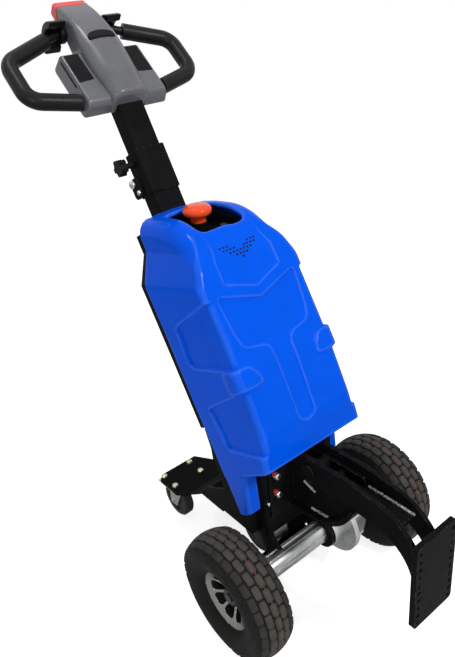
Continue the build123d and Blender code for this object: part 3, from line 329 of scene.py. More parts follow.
finishes = {name: make_finish(name) for name in FINISHES}
for row in frame["record"]["subparts"]:
    nodes[row["node"]].material_slots[0].material = finishes[row["material_slot"]]
for side in SIDES:
    nodes["axle_shaft_" + side].material_slots[0].material = finishes["rim_paint"]


# Frames that the added pieces are shaped in: millimetres, then moved into place
LEAN = 28.0
HEAD_LEAN = 48.0
NECK_X, NECK_Z = -0.478, 0.985
MILLIMETRES = Matrix.Scale(0.001, 4)
AT_AXLE = Matrix.Translation((AXLE_X, 0, 0)) @ MILLIMETRES
LEANING = Matrix.Translation((AXLE_X, 0, 0)) @ Matrix.Rotation(radians(-LEAN), 4, "Y") @ MILLIMETRES
HEADED = (
    Matrix.Translation((AXLE_X + NECK_X, 0, NECK_Z))
    @ Matrix.Rotation(radians(-HEAD_LEAN), 4, "Y")
    @ MILLIMETRES
)


def at_wheel(side):
    """The frame at the middle of a drive wheel."""
    return Matrix.Translation(middle("tyre_" + side)) @ MILLIMETRES


# Edges that bend more than this stay sharp
CREASE = radians(50)


def add_piece(name, mesh, place, finish, body, stands_for=()):
    """A finished mesh, moved into place, painted and tied to the body that carries it."""
    mesh.transform(place)
    mesh.materials.clear()
    mesh.materials.append(finishes[finish])
    mesh.polygons.foreach_set("use_smooth", [True] * len(mesh.polygons))
    mesh.set_sharp_from_angle(angle=CREASE)
    made = linked(name, mesh)
    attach(made, body)
    if stands_for:
        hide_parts(*stands_for)


# Shapes from fields: below zero inside, worked out on a grid and drawn as a net

# Shifts, as shares of the blur, that a table's bends are averaged over
BLUR_SHIFTS = (-1, -0.5, 0, 0.5, 1)
# How points are drawn onto a surface: step that feels its slope, passes, least slope squared, longest move
NUDGE, DRAW_PASSES, LEAST_SLOPE, LONGEST_MOVE = 0.05, 3, 0.2, 2.0
# A cell's steps along the three axes, and its eight corners
STEPS = np.eye(3, dtype=int)
CORNERS = [(i, j, k) for i in (0, 1) for j in (0, 1) for k in (0, 1)]


def table(along, places, values, blur=6.0):
    """A value read from a short table of places and values, with its bends softened."""
    reads = [np.interp(along + shift * blur, places, values) for shift in BLUR_SHIFTS]
    return sum(reads) / len(reads)


def round_max(first, second, radius):
    """Where two insides overlap, with the edge between them rounded."""
    over = np.hypot(np.maximum(first + radius, 0), np.maximum(second + radius, 0))
    return np.minimum(np.maximum(first, second), -radius) + over


def ramp(value, width):
    """Rises smoothly from 0 to 1 as a value falls through zero over a width."""
    share = np.clip(0.5 - value / width, 0, 1)
    return share * share * (3 - 2 * share)


def outline_distance(outline, across, along):
    """Distance in a plane to a closed outline, below zero inside."""
    shape = np.broadcast_shapes(np.shape(across), np.shape(along))
    nearest = np.full(shape, np.inf)
    inside = np.zeros(shape, bool)
    for (a0, b0), (a1, b1) in zip(outline, outline[1:] + outline[:1]):
        run_a, run_b = a1 - a0, b1 - b0
        share = ((across - a0) * run_a + (along - b0) * run_b) / (run_a * run_a + run_b * run_b)
        share = np.clip(share, 0, 1)
        nearest = np.minimum(nearest, np.hypot(across - a0 - share * run_a, along - b0 - share * run_b))
        if run_b:
            crossed = (along < b0) != (along < b1)
            inside = inside ^ (crossed & (across < a0 + (along - b0) * run_a / run_b))
    return np.where(inside, -nearest, nearest)


def mirrored(half):
    """A closed outline from its half at positive Y."""
    return half + [(-y, along) for y, along in reversed(half) if y > 0]


def drawn_onto(field, places):
    """Points moved onto the surface where a field is zero."""
    for _ in range(DRAW_PASSES):
        value = field(*places.T)
        slope = np.empty_like(places)
        for axis in range(3):
            moved = places.copy()
            moved[:, axis] += NUDGE
            slope[:, axis] = (field(*moved.T) - value) / NUDGE
        steep = np.maximum((slope ** 2).sum(axis=1), LEAST_SLOPE)
        places = places - np.clip(value / steep, -LONGEST_MOVE, LONGEST_MOVE)[:, None] * slope
    return places


def crossings(grid, cells):
    """The mean of the points where each cell's edges cross the surface, in steps from the grid's start."""
    total = np.zeros((len(cells), 3))
    count = np.zeros(len(cells))
    for axis, ahead in enumerate(STEPS):
        for corner in CORNERS:
            if corner[axis]:
                continue
            start = cells + np.array(corner)
            first = grid[tuple(start.T)]
            second = grid[tuple((start + ahead).T)]
            cut = (first < 0) != (second < 0)
            share = np.where(cut, first / np.where(cut, first - second, 1), 0)
            total += cut[:, None] * (np.array(corner) + ahead * share[:, None])
            count += cut
    return cells + total / count[:, None]


def net_faces(inside, index):
    """Four-sided faces, one for each grid edge that crosses the surface, between the cells round it."""
    faces = []
    for axis in range(3):
        right, up = STEPS[(axis + 1) % 3], STEPS[(axis + 2) % 3]
        here = np.take(inside, range(inside.shape[axis] - 1), axis)
        there = np.take(inside, range(1, inside.shape[axis]), axis)
        edges = np.argwhere(here != there)
        edges = edges[((edges - right - up >= 0) & (edges < np.array(index.shape))).all(axis=1)]
        ring = [index[tuple((edges + shift).T)] for shift in (-right - up, -up, 0 * up, -right)]
        quads = np.stack(ring, axis=1)
        outwards = inside[tuple(edges.T)]
        faces.append(np.where(outwards[:, None], quads, quads[:, ::-1]))
    return np.concatenate(faces)


def field_mesh(name, field, low, high, step):
    """A net of four-sided faces over the surface where a field crosses zero inside a box."""
    axes = [np.arange(start, end + step, step) for start, end in zip(low, high)]
    values = field(*np.meshgrid(*axes, indexing="ij", sparse=True))
    grid = np.broadcast_to(values, [len(axis) for axis in axes])
    inside = grid < 0
    cell_count = np.array(grid.shape) - 1
    blocks = [tuple(slice(i, i + n) for i, n in zip(corner, cell_count)) for corner in CORNERS]
    full = sum(inside[part].astype(int) for part in blocks)
    mixed = (full > 0) & (full < len(CORNERS))
    cells = np.argwhere(mixed)
    index = np.full(mixed.shape, -1)
    index[mixed] = np.arange(len(cells))
    places = drawn_onto(field, np.array(low) + step * crossings(grid, cells))
    mesh = bpy.data.meshes.new(name)
    mesh.from_pydata(places.tolist(), [], net_faces(inside, index).tolist())
    return mesh


# The moulded cover, in the lean's own frame: depth square to the lean, Y, and place along it
COVER_LOW, COVER_LOW_AT, COVER_LOW_SLOPE = 325.0, 125.0, 0.08
COVER_BACK = 50.0
COVER_WALL = 8.0
# A lip across the back of the roof: its depth, and where along the lean it starts
LIP_FRONT, LIP_AT = 58.0, 800.0
# Columns of the sections: place along the front, depth of the front, half width at the front and at the back
COVER_AT = [334.0, 393.0, 500.0, 683.0, 713.0, 743.0, 860.0]
COVER_FRONT = [205.0, 219.0, 225.0, 220.0, 218.5, 217.5, 215.0]
COVER_FRONT_W = [125.0, 120.5, 120.0, 119.0, 108.0, 97.5, 95.0]
COVER_BACK_W = [128.0, 128.5, 129.0, 130.5, 115.0, 99.0, 99.0]
COVER_SKEW = 50.0
ROOF_X, ROOF_Z, ROOF_TILT = -200.0, 776.0, 0.06
ROOF_CROWN, CROWN_HALF_W = 3.0, 60.0
# Columns of the roof's arch: place from back to front, and how far it stands over the tilted plane
ARCH_AT = [-420.0, -360.0, -310.0, -250.0, -205.0, -185.0, -159.0, -129.0, -100.0]
ARCH_RISE = [-18.0, -8.0, 5.0, 15.0, 9.0, -3.0, -7.0, -7.0, 0.0]
ARCH_BLUR = 16.0
EDGE_ROUND, ROOF_ROUND, HEM_ROUND, OPENING_LIP = 11.0, 35.0, 2.0, 6.0
# Outlines of the reliefs: Y and place along on the front, depth and place along on the sides
HEAD_FIELD = mirrored([(0, 657), (64, 680), (63, 719), (55, 744), (55, 800)])
CHEST_FIELD = mirrored([
    (0, 632), (86, 659), (91, 655), (84, 589), (78, 567), (70, 560), (36, 553), (25, 546), (21, 534),
    (18, 400), (14, 393), (0, 389),
])
EAR_FIELD = [(160, 533), (92, 531), (83, 527), (71, 511), (67, 496), (71, 490), (88, 488), (160, 490)]
SIDE_FIELDS = [
    [(270, 669), (102, 636), (96, 630), (89, 568), (92, 560), (102, 552), (270, 522)],
    [(270, 497), (98, 466), (93, 461), (96, 440), (103, 389), (109, 383), (270, 353)],
]
# How far each relief is sunk or raised, and the width that its edge ramps over
FRONT_SINK, FRONT_RAMP = 4.2, 4.4
SIDE_SINK, SIDE_RAMP = 6.5, 5.0
EAR_RISE, EAR_RAMP = 3.5, 6.0
# Where the side reliefs end inwards and the ears end backwards, and the width that they fade over
SIDE_FADE_Y, SIDE_FADE = 100.0, 8.0
EAR_FADE_DEPTH, EAR_FADE = 190.0, 20.0
LEG_OUT_Y, LEG_IN_Y, LEG_LOW, LEG_HIGH, LEG_ROUND = 127.0, 96.0, 238.0, 338.0, 9.0
# The legs' leaning front: columns of place along and depth, and the share of depth that is square to it
LEG_FRONT_AT, LEG_FRONT, LEG_SQUARE = [236.0, 325.0], [82.0, 122.0], 0.91
OPENING_X, OPENING_HALF_L, OPENING_HALF_W, OPENING_ROUND = -259.0, 59.0, 54.0, 16.0
OPENING_LOW_Z = 700.0
# A scoop beside the opening, as a ball: its middle and radius
SCOOP_X, SCOOP_Y, SCOOP_Z, SCOOP_R = -200.0, 26.0, 817.0, 40.0
COVER_BOX_LOW, COVER_BOX_HIGH, COVER_STEP = (44, -138, 230), (234, 138, 880), 2.8
# A first guess of the front's depth, and the passes that draw it in
FRONT_GUESS, FRONT_PASSES = 215.0, 6
LEAN_SIN, LEAN_COS = sin(radians(LEAN)), cos(radians(LEAN))


def cover_skin(depth, y, along):
    """The cover's outside, with no open back and bottom: first plain, then with its opening and scoop."""
    wide = np.abs(y)
    back_share = np.clip(1 - (depth - COVER_BACK) / (max(COVER_FRONT) - COVER_BACK), 0, 1)
    skewed = along - back_share * COVER_SKEW
    half_w = table(skewed, COVER_AT, COVER_FRONT_W)
    half_w = half_w + (table(skewed, COVER_AT, COVER_BACK_W) - half_w) * back_share
    sunk = sum(ramp(outline_distance(outline, depth, along), SIDE_RAMP) for outline in SIDE_FIELDS)
    side = wide - half_w + SIDE_SINK * sunk * ramp(SIDE_FADE_Y - wide, SIDE_FADE)
    front = depth - table(along, COVER_AT, COVER_FRONT)
    for outline in (HEAD_FIELD, CHEST_FIELD):
        front = front + FRONT_SINK * ramp(outline_distance(outline, y, along), FRONT_RAMP)
    ear = ramp(outline_distance(EAR_FIELD, wide, along), EAR_RAMP)
    near_front = ramp(EAR_FADE_DEPTH - depth, EAR_FADE)
    x = depth * LEAN_COS - along * LEAN_SIN
    z = depth * LEAN_SIN + along * LEAN_COS
    roof = z - ROOF_Z + ROOF_TILT * (x - ROOF_X) - table(x, ARCH_AT, ARCH_RISE, ARCH_BLUR)
    roof = roof - ROOF_CROWN * np.clip(1 - (y / CROWN_HALF_W) ** 2, 0, 1)
    body = round_max(side, front, EDGE_ROUND) - EAR_RISE * ear * near_front
    body = round_max(body, roof, ROOF_ROUND)
    hole_x = np.abs(x - OPENING_X) - OPENING_HALF_L + OPENING_ROUND
    hole_y = wide - OPENING_HALF_W + OPENING_ROUND
    hole = np.hypot(np.maximum(hole_x, 0), np.maximum(hole_y, 0)) - OPENING_ROUND
    hole = np.maximum(hole, OPENING_LOW_Z - z)
    scoop = np.sqrt((x - SCOOP_X) ** 2 + (y - SCOOP_Y) ** 2 + (z - SCOOP_Z) ** 2) - SCOOP_R
    return body, round_max(round_max(body, -scoop, OPENING_LIP), -hole, OPENING_LIP)


def cover_field(depth, y, along):
    """The cover's shell and its two legs, open at the back and at the bottom."""
    plain, outside = cover_skin(depth, y, along)
    back = COVER_BACK - depth
    bottom = COVER_LOW + COVER_LOW_SLOPE * (depth - COVER_LOW_AT) - along
    shell = round_max(outside, bottom, HEM_ROUND)
    hollow = np.maximum(plain + COVER_WALL, np.minimum(LIP_FRONT - depth, along - LIP_AT))
    shell = np.maximum(np.maximum(shell, -hollow), back)
    wide = np.abs(y)
    leg_front = (depth - np.interp(along, LEG_FRONT_AT, LEG_FRONT)) * LEG_SQUARE
    leg = round_max(wide - LEG_OUT_Y, leg_front, LEG_ROUND)
    leg = np.maximum(np.maximum(leg, -(leg + COVER_WALL)), back)
    leg = np.maximum(np.maximum(leg, LEG_IN_Y - wide), np.maximum(LEG_LOW - along, along - LEG_HIGH))
    return np.minimum(shell, leg)


def on_cover(y, along):
    """Depth of the cover's front at a place."""
    depth = FRONT_GUESS
    for _ in range(FRONT_PASSES):
        depth -= float(cover_skin(np.array(depth), np.array(y), np.array(along))[0])
    return depth


add_piece(
    "moulded_cover", field_mesh("moulded_cover", cover_field, COVER_BOX_LOW, COVER_BOX_HIGH, COVER_STEP),
    LEANING, "blue_cover", "chassis", stands_for=("cover",),
)


# The tiller head, in its own frame: height over its middle line, Y, and place from the neck to the tip
# The hump: place and height of its crest, the most it falls, and its fall and run to the neck and to the tip
CREST_AT, CREST_H, FALL_MOST = 118.0, 43.0, 30.0
NECK_FALL, NECK_RUN, TIP_FALL, TIP_RUN = 13.0, 126.0, 19.0, 108.0
NECK_END, NECK_ROUND = -8.0, 9.0
# Columns of the hump: place along it, half width and rounding of its top edges
HUMP_PLACES = [-8.0, 20.0, 60.0, 100.0, 130.0, 175.0, 226.0, 263.0]
HUMP_HALF_W = [41.0, 42.0, 47.0, 48.0, 46.0, 40.0, 38.0, 37.0]
HUMP_ROUND = [24.0, 28.0, 32.0, 32.0, 24.0, 12.0, 7.0, 6.0]
HUMP_BLUR = 12.0
# Its underside: height and rounding, and its rise to the tip, with that rise's start, run and most runs
UNDER_H, UNDER_ROUND = -27.0, 8.0
UNDER_RISE, RISE_FROM, RISE_RUN, RISE_MOST = 7.0, 100.0, 100.0, 1.6
# The tip: its end, rounding and how proud it is, and the slanted seam before it
TIP_END, TIP_ROUND, TIP_PROUD = 263.0, 7.0, 0.8
SEAM_AT, SEAM_OVER, SEAM_SLANT, SEAM_SQUARE, SEAM_ROUND, SEAM_GAP = 250.0, 22.0, 0.88, 0.75, 1.2, 0.8
# A wing: its top, underside, two ends and two sides, with the rounding of the edges there
WING_TOP, WING_UNDER, WING_UNDER_ROUND = 13.0, -29.0, 11.0
WING_LOW, WING_LOW_ROUND, WING_HIGH, WING_HIGH_ROUND = -6.0, 18.0, 127.0, 9.0
WING_IN, WING_OUT, WING_OUT_ROUND, WING_FLARE, WING_SQUARE = 36.0, 89.0, 4.0, 0.16, 0.92
# The pad on a wing: its outline as Y and place along, the outline's rounding, and how proud it is
PAD_OUTLINE, PAD_ROUND, PAD_PROUD = [(52, 54), (84, 51), (83, 119), (53, 121)], 1.0, 0.8
# The slot in a wing's wall: its middle, half length and radius, how proud it is, and where it starts in Y
SLOT_AT, SLOT_OVER, SLOT_HALF_L, SLOT_R, SLOT_PROUD, SLOT_IN = 82.0, 3.0, 31.0, 2.8, 0.7, 80.0
# The rocker: place and radius of its outer and inner circles, half width, roundings and how proud it is
ROCKER_OUT_AT, ROCKER_OUT_R, ROCKER_IN_AT, ROCKER_IN_R = 93.0, 52.0, -17.0, 142.0
ROCKER_HALF_W, ROCKER_TIP_ROUND, ROCKER_END_ROUND = 30.0, 3.0, 5.0
ROCKER_PROUD, ROCKER_TOP_ROUND = 3.5, 2.5
# A throttle: its axle, its bowed paddle and its round hub
THROTTLE_AT, THROTTLE_OVER, THROTTLE_ROUND = 197.0, -8.0, 3.0
BOW_OVER, BOW_BEHIND, BOW_R, BOW_HALF_T, BOW_START = 2.0, 26.0, 36.0, 7.5, -11.0
PADDLE_Y, PADDLE_HALF_W = 64.0, 18.0
HUB_Y, HUB_HALF_W, HUB_R = 47.0, 6.0, 19.0


def hump_field(over, y, along):
    """The long hump from the neck to the end of the tip."""
    past = along - CREST_AT
    fall = np.where(past < 0, NECK_FALL * (past / NECK_RUN) ** 2, TIP_FALL * (past / TIP_RUN) ** 2)
    top = over - CREST_H + np.minimum(fall, FALL_MOST)
    side = np.abs(y) - table(along, HUMP_PLACES, HUMP_HALF_W, HUMP_BLUR)
    under = UNDER_H + UNDER_RISE * np.clip((along - RISE_FROM) / RISE_RUN, 0, RISE_MOST) - over
    body = round_max(side, top, table(along, HUMP_PLACES, HUMP_ROUND, HUMP_BLUR))
    return round_max(round_max(body, under, UNDER_ROUND), NECK_END - along, NECK_ROUND)


def seam(over, along):
    """Distance past the slanted seam between the housing and its tip."""
    return (along - SEAM_AT + (SEAM_OVER - over) * SEAM_SLANT) * SEAM_SQUARE


def housing_field(over, y, along):
    """The hump up to the seam."""
    return round_max(hump_field(over, y, along), seam(over, along), SEAM_ROUND)


def tip_field(over, y, along):
    """The hump past the seam, a little proud."""
    body = round_max(hump_field(over, y, along) - TIP_PROUD, along - TIP_END, TIP_ROUND)
    return round_max(body, SEAM_GAP - seam(over, along), SEAM_ROUND)


def wing_field(over, y, along):
    """A wing beside the hump, with a flared outer wall."""
    side = (y - WING_OUT - WING_FLARE * (WING_TOP - over)) * WING_SQUARE
    across = round_max(over - WING_TOP, WING_LOW - along, WING_LOW_ROUND)
    across = round_max(across, WING_UNDER - over, WING_UNDER_ROUND)
    across = round_max(across, along - WING_HIGH, WING_HIGH_ROUND)
    return np.maximum(round_max(across, side, WING_OUT_ROUND), WING_IN - y)


def pad_field(over, y, along):
    """A dark inlay on the wing's top."""
    patch = outline_distance(PAD_OUTLINE, y, along) - PAD_ROUND
    return round_max(wing_field(over, y, along) - PAD_PROUD, patch, PAD_PROUD)


def slot_field(over, y, along):
    """A slot down the wing's outer wall, drawn as a raised dark strip: a painted shade for its depth."""
    slot = np.hypot(np.maximum(np.abs(along - SLOT_AT) - SLOT_HALF_L, 0), over - SLOT_OVER) - SLOT_R
    return np.maximum(round_max(wing_field(over, y, along) - SLOT_PROUD, slot, SLOT_PROUD), SLOT_IN - y)


def rocker_field(over, y, along):
    """A crescent standing on the hump."""
    outer = np.hypot(y, along - ROCKER_OUT_AT) - ROCKER_OUT_R
    inner = ROCKER_IN_R - np.hypot(y, along - ROCKER_IN_AT)
    crescent = round_max(outer, inner, ROCKER_TIP_ROUND)
    crescent = round_max(crescent, np.abs(y) - ROCKER_HALF_W, ROCKER_END_ROUND)
    return round_max(hump_field(over, y, along) - ROCKER_PROUD, crescent, ROCKER_TOP_ROUND)


def throttle_field(over, y, along):
    """A cupped paddle and its round hub."""
    height, ahead = over - THROTTLE_OVER, along - THROTTLE_AT
    band = np.abs(np.hypot(height - BOW_OVER, ahead + BOW_BEHIND) - BOW_R) - BOW_HALF_T
    paddle = round_max(band, BOW_START - ahead, THROTTLE_ROUND)
    paddle = round_max(paddle, np.abs(y - PADDLE_Y) - PADDLE_HALF_W, THROTTLE_ROUND)
    hub = round_max(np.hypot(height, ahead) - HUB_R, np.abs(y - HUB_Y) - HUB_HALF_W, THROTTLE_ROUND)
    return np.minimum(paddle, hub)


HEAD_FIELDS = {
    # node: field, lowest corner, highest corner, step, finish
    "head_housing": (housing_field, (-32, -54, -12), (48, 54, 256), 2.0, "grey_housing"),
    "tip_button": (tip_field, (-32, -44, 194), (30, 44, 268), 1.6, "red_tip"),
    "rocker_switch": (rocker_field, (20, -36, 116), (52, 36, 150), 1.2, "black_plastic"),
}
# Pieces on both sides: name, field, lowest corner, highest corner, step, finish, CAD node it stands for
SIDE_FIELDS_ON_HEAD = [
    ("wing", wing_field, (-34, 32, -10), (18, 112, 132), 2.0, "grey_housing", "wing_"),
    ("pad", pad_field, (-34, 46, 44), (18, 92, 128), 1.5, "matt_pad", None),
    ("slot", slot_field, (-10, 78, 40), (18, 112, 124), 1.2, "black_plastic", None),
    ("paddle", throttle_field, (-54, 38, 170), (40, 86, 226), 1.6, "black_plastic", "throttle_"),
]
for node, (field, low, high, step, finish) in HEAD_FIELDS.items():
    mesh = field_mesh(node, field, low, high, step)
    add_piece("moulded_" + node, mesh, HEADED, finish, "tiller", stands_for=(node,))
for side, sign in SIDES.items():
    to_side = HEADED @ Matrix.Diagonal((1, sign, 1, 1))
    for name, field, low, high, step, finish, node in SIDE_FIELDS_ON_HEAD:
        mesh = field_mesh(name + "_" + side, field, low, high, step)
        if sign < 0:
            mesh.flip_normals()
        stands_for = (node + side,) if node else ()
        add_piece("moulded_" + name + "_" + side, mesh, to_side, finish, "tiller", stands_for)


# The handle loops: their solids' own shape, joined up so that it shades as one smooth skin
MERGE_GAP = 0.00001


def smooth_copy(node):
    """A solid's mesh with its loose triangles joined."""
    shape = bmesh.new()
    shape.from_mesh(nodes[node].data)
    bmesh.ops.remove_doubles(shape, verts=shape.verts, dist=MERGE_GAP)
    shape.verts.index_update()
    mesh = bpy.data.meshes.new("smooth_" + node)
    corners = [tuple(vertex.index for vertex in face.verts) for face in shape.faces]
    mesh.from_pydata([vertex.co[:] for vertex in shape.verts], [], corners)
    shape.free()
    return mesh


for side in SIDES:
    loop = "handle_loop_" + side
    add_piece(
        "smooth_" + loop, smooth_copy(loop), Matrix(), "loop_black", "tiller",
        stands_for=(loop,),
    )


# Repeats by Geometry Nodes

def repeat_group(name, inputs):
    """An empty geometry group with a start mesh, named inputs and a material."""
    tree = bpy.data.node_groups.new(name, "GeometryNodeTree")
    sockets = {"Geometry": "Geometry", **inputs, "Material": "Material"}
    for label, kind in sockets.items():
        tree.interface.new_socket(label, in_out="INPUT", socket_type="NodeSocket" + kind)
    tree.interface.new_socket("Geometry", in_out="OUTPUT", socket_type="NodeSocketGeometry")
    return tree, tree.nodes.new("NodeGroupInput").outputs, tree.nodes.new("NodeGroupOutput").inputs


def finish_repeat(tree, given, out, points, turn):
    """The start mesh set on each point, made real and painted."""
    copies = put(
        tree, "GeometryNodeInstanceOnPoints",
        {"Points": points, "Instance": given["Geometry"], "Rotation": turn},
    )
    real = put(tree, "GeometryNodeRealizeInstances", {"Geometry": copies.outputs[0]})
    painted = put(
        tree, "GeometryNodeSetMaterial", {"Geometry": real.outputs[0], "Material": given["Material"]},
    )
    tree.links.new(painted.outputs[0], out["Geometry"])


def round_axle_group():
    """Copies of the start mesh round the Y axis, each turned to face outwards."""
    tree, given, out = repeat_group(
        "round_axle",
        {"Count": "Int", "Radius": "Float", "Across": "Float", "Phase": "Float", "Tilt": "Float"},
    )
    order = put(tree, "GeometryNodeInputIndex").outputs[0]
    share = number(tree, "DIVIDE", number(tree, "ADD", order, given["Phase"]), given["Count"])
    angle = number(tree, "MULTIPLY", share, 2 * pi)
    x = number(tree, "MULTIPLY", number(tree, "SINE", angle), given["Radius"])
    z = number(tree, "MULTIPLY", number(tree, "COSINE", angle), given["Radius"])
    place = put(tree, "ShaderNodeCombineXYZ", {"X": x, "Y": given["Across"], "Z": z}).outputs[0]
    turn = put(tree, "ShaderNodeCombineXYZ", {"X": given["Tilt"], "Y": angle}).outputs[0]
    points = put(tree, "GeometryNodePoints", {"Count": given["Count"], "Position": place}).outputs[0]
    finish_repeat(tree, given, out, points, turn)
    return tree


def along_line_group():
    """Copies of the start mesh at even steps from one point to another, all turned alike."""
    tree, given, out = repeat_group(
        "along_line", {"Count": "Int", "Start": "Vector", "End": "Vector", "Turn": "Vector"},
    )
    order = put(tree, "GeometryNodeInputIndex").outputs[0]
    gaps = number(tree, "MAXIMUM", number(tree, "SUBTRACT", given["Count"], 1.0), 1.0)
    share = number(tree, "DIVIDE", order, gaps)
    start, end = given["Start"], given["End"]
    run = put(tree, "ShaderNodeVectorMath", {0: end, 1: start}, operation="SUBTRACT").outputs[0]
    step = put(tree, "ShaderNodeVectorMath", {0: run, "Scale": share}, operation="SCALE").outputs[0]
    place = put(tree, "ShaderNodeVectorMath", {0: start, 1: step}, operation="ADD").outputs[0]
    points = put(tree, "GeometryNodePoints", {"Count": given["Count"], "Position": place}).outputs[0]
    finish_repeat(tree, given, out, points, given["Turn"])
    return tree


ROUND_AXLE = round_axle_group()
ALONG_LINE = along_line_group()


def repeated(tree, mesh, finish, **values):
    """The mesh that a repeat group makes from a start mesh, with the group's inputs given by name."""
    start = linked(mesh.name + "_start", mesh)
    modifier = start.modifiers.new("repeat", "NODES")
    modifier.node_group = tree
    values["Material"] = finishes[finish]
    for socket in tree.interface.items_tree:
        if socket.in_out == "INPUT" and socket.name in values:
            modifier[socket.identifier] = values[socket.name]
    graph = bpy.context.evaluated_depsgraph_get()
    made = bpy.data.meshes.new_from_object(start.evaluated_get(graph))
    bpy.data.objects.remove(start)
    return made


def joined(name, meshes):
    """One mesh from several."""
    whole = bmesh.new()
    for mesh in meshes:
        whole.from_mesh(mesh)
    mesh = bpy.data.meshes.new(name)
    whole.to_mesh(mesh)
    whole.free()
    return mesh


def stacked(name, rings):
    """A closed solid from rings of points, one above the other, each given from below upwards."""
    count = len(rings[0])
    places = [point for ring in rings for point in ring]
    faces = [tuple(reversed(range(count))), tuple(range((len(rings) - 1) * count, len(rings) * count))]
    for level in range(len(rings) - 1):
        low = level * count
        for i in range(count):
            after = (i + 1) % count
            faces.append((low + i, low + after, low + count + after, low + count + i))
    mesh = bpy.data.meshes.new(name)
    mesh.from_pydata(places, [], faces)
    return mesh


def drum(name, sides, rows):
    """A solid turned about Z with flat or round sides, from rows of radius and height."""
    turns = [2 * pi * (i + 0.5) / sides for i in range(sides)]
    return stacked(name, [[(r * cos(turn), r * sin(turn), z) for turn in turns] for r, z in rows])


def turned(name, profile, segments=96):
    """A ring or solid turned about Y from a closed outline of radius and Y."""
    places = []
    for i in range(segments):
        angle = 2 * pi * i / segments
        places += [(r * sin(angle), y, r * cos(angle)) for r, y in profile]
    count = len(profile)
    faces = []
    for i in range(segments):
        near, far = i * count, (i + 1) % segments * count
        for j in range(count):
            after = (j + 1) % count
            faces.append((near + j, near + after, far + after, far + j))
    mesh = bpy.data.meshes.new(name)
    mesh.from_pydata(places, [], faces)
    shape = bmesh.new()
    shape.from_mesh(mesh)
    bmesh.ops.recalc_face_normals(shape, faces=shape.faces)
    shape.to_mesh(mesh)
    shape.free()
    return mesh


def arc(start, through, end, steps):
    """Points along the circle through three points, without the first."""
    (ax, ay), (bx, by), (cx, cy) = start, through, end
    twice = 2 * (ax * (by - cy) + bx * (cy - ay) + cx * (ay - by))
    a2, b2, c2 = ax * ax + ay * ay, bx * bx + by * by, cx * cx + cy * cy
    ux = (a2 * (by - cy) + b2 * (cy - ay) + c2 * (ay - by)) / twice
    uy = (a2 * (cx - bx) + b2 * (ax - cx) + c2 * (bx - ax)) / twice
    radius = hypot(ax - ux, ay - uy)
    first, mid, last = (atan2(y - uy, x - ux) for x, y in (start, through, end))
    sweep = (last - first) % (2 * pi)
    if (mid - first) % (2 * pi) > sweep:
        sweep -= 2 * pi
    turns = [first + sweep * i / steps for i in range(1, steps + 1)]
    return [(ux + radius * cos(turn), uy + radius * sin(turn)) for turn in turns]


# Tyres: a round carcass and five rows of tread blocks set round its crown
TYRE_R, CROWN_R, TREAD_H, TREAD_COUNT, ROW_STEP = 130.0, 78.0, 3.5, 28, 16.8
TREAD_ROWS = (-2, -1, 0, 1, 2)
CARCASS_SHOULDER, CARCASS_BULGE, BEAD = (116.0, 39.0), (90.0, 44.8), (58.5, 26.0)
WALL_STEPS, CROWN_STEPS = 12, 14
BLOCK_HALF_L, BLOCK_HALF_W, BLOCK_CUT = 12.0, 6.6, 2.8
# Rings of a block from its foot to its top: growth of its outline, and height
BLOCK_RINGS = [(1.05, -6.0), (1.0, -0.5), (0.96, 0.0)]
# The mould line: half width, and its reach under and over the tread
LINE_HALF_W, LINE_UNDER, LINE_OVER = 0.9, 0.5, 0.35
# Ridges on the wall: radius and half width of the tyre there, then a ridge's own half width, foot and height
WALL_RIDGES = [(66.0, 34.6), (101.0, 44.0), (107.0, 42.4)]
RIDGE_HALF_W, RIDGE_UNDER, RIDGE_OVER = 1.2, 1.0, 0.9
# Rims: a dark barrel and spokes, and a bright face that dips from a flat ring to a deep hub
RING_OUT, RING_IN, HUB_RING_R, FACE_IN, SPOKE_IN = 61.5, 48.5, 22.0, 25.0, 9.0
# Columns of the dish: radius and the height of its face, then the share of height that is square to it
DISH_R, DISH_Y, DISH_SQUARE = [22.0, 48.0, 61.5], [9.0, 24.0, 29.5], 0.85
SPOKE_COUNT, SPOKE_HALF_W, SPOKE_TURN, SPOKE_DEEP = 8, 3.2, radians(26.5), 13.0
FACE_SKIN, POCKET_ROUND, POCKET_FOOT_ROUND, FACE_ROUND = 2.4, 9.0, 3.0, 0.6
RIM_BOX_R, RIM_BOX_Y, RIM_STEP = 64.0, (-6.0, 32.0), 1.3
# The barrel's outline: radius and Y
BARREL = [
    (9, -25), (21, -25), (21, 1), (54, 1), (54, -25), (58, -25), (58, 25), (62, 25), (62, 28), (60, 27.5),
    (54, 24), (54, 5), (21, 5), (21, 9), (9, 9),
]


def carcass_profile():
    """The tyre's section from bead to bead, as radius and Y."""
    out_r, out_y = CARCASS_SHOULDER
    bulge_r, bulge_y = CARCASS_BULGE
    profile = [(BEAD[0], -BEAD[1])]
    profile += arc(profile[-1], (bulge_r, -bulge_y), (out_r, -out_y), WALL_STEPS)
    profile += arc(profile[-1], (TYRE_R - TREAD_H, 0), (out_r, out_y), CROWN_STEPS)
    profile += arc(profile[-1], (bulge_r, bulge_y), BEAD, WALL_STEPS)
    return profile


def wall_ridge(r, y, sign):
    """A ridge's section on one wall, as radius and Y."""
    foot = sign * (y - RIDGE_UNDER)
    return [(r - RIDGE_HALF_W, foot), (r, sign * (y + RIDGE_OVER)), (r + RIDGE_HALF_W, foot)]


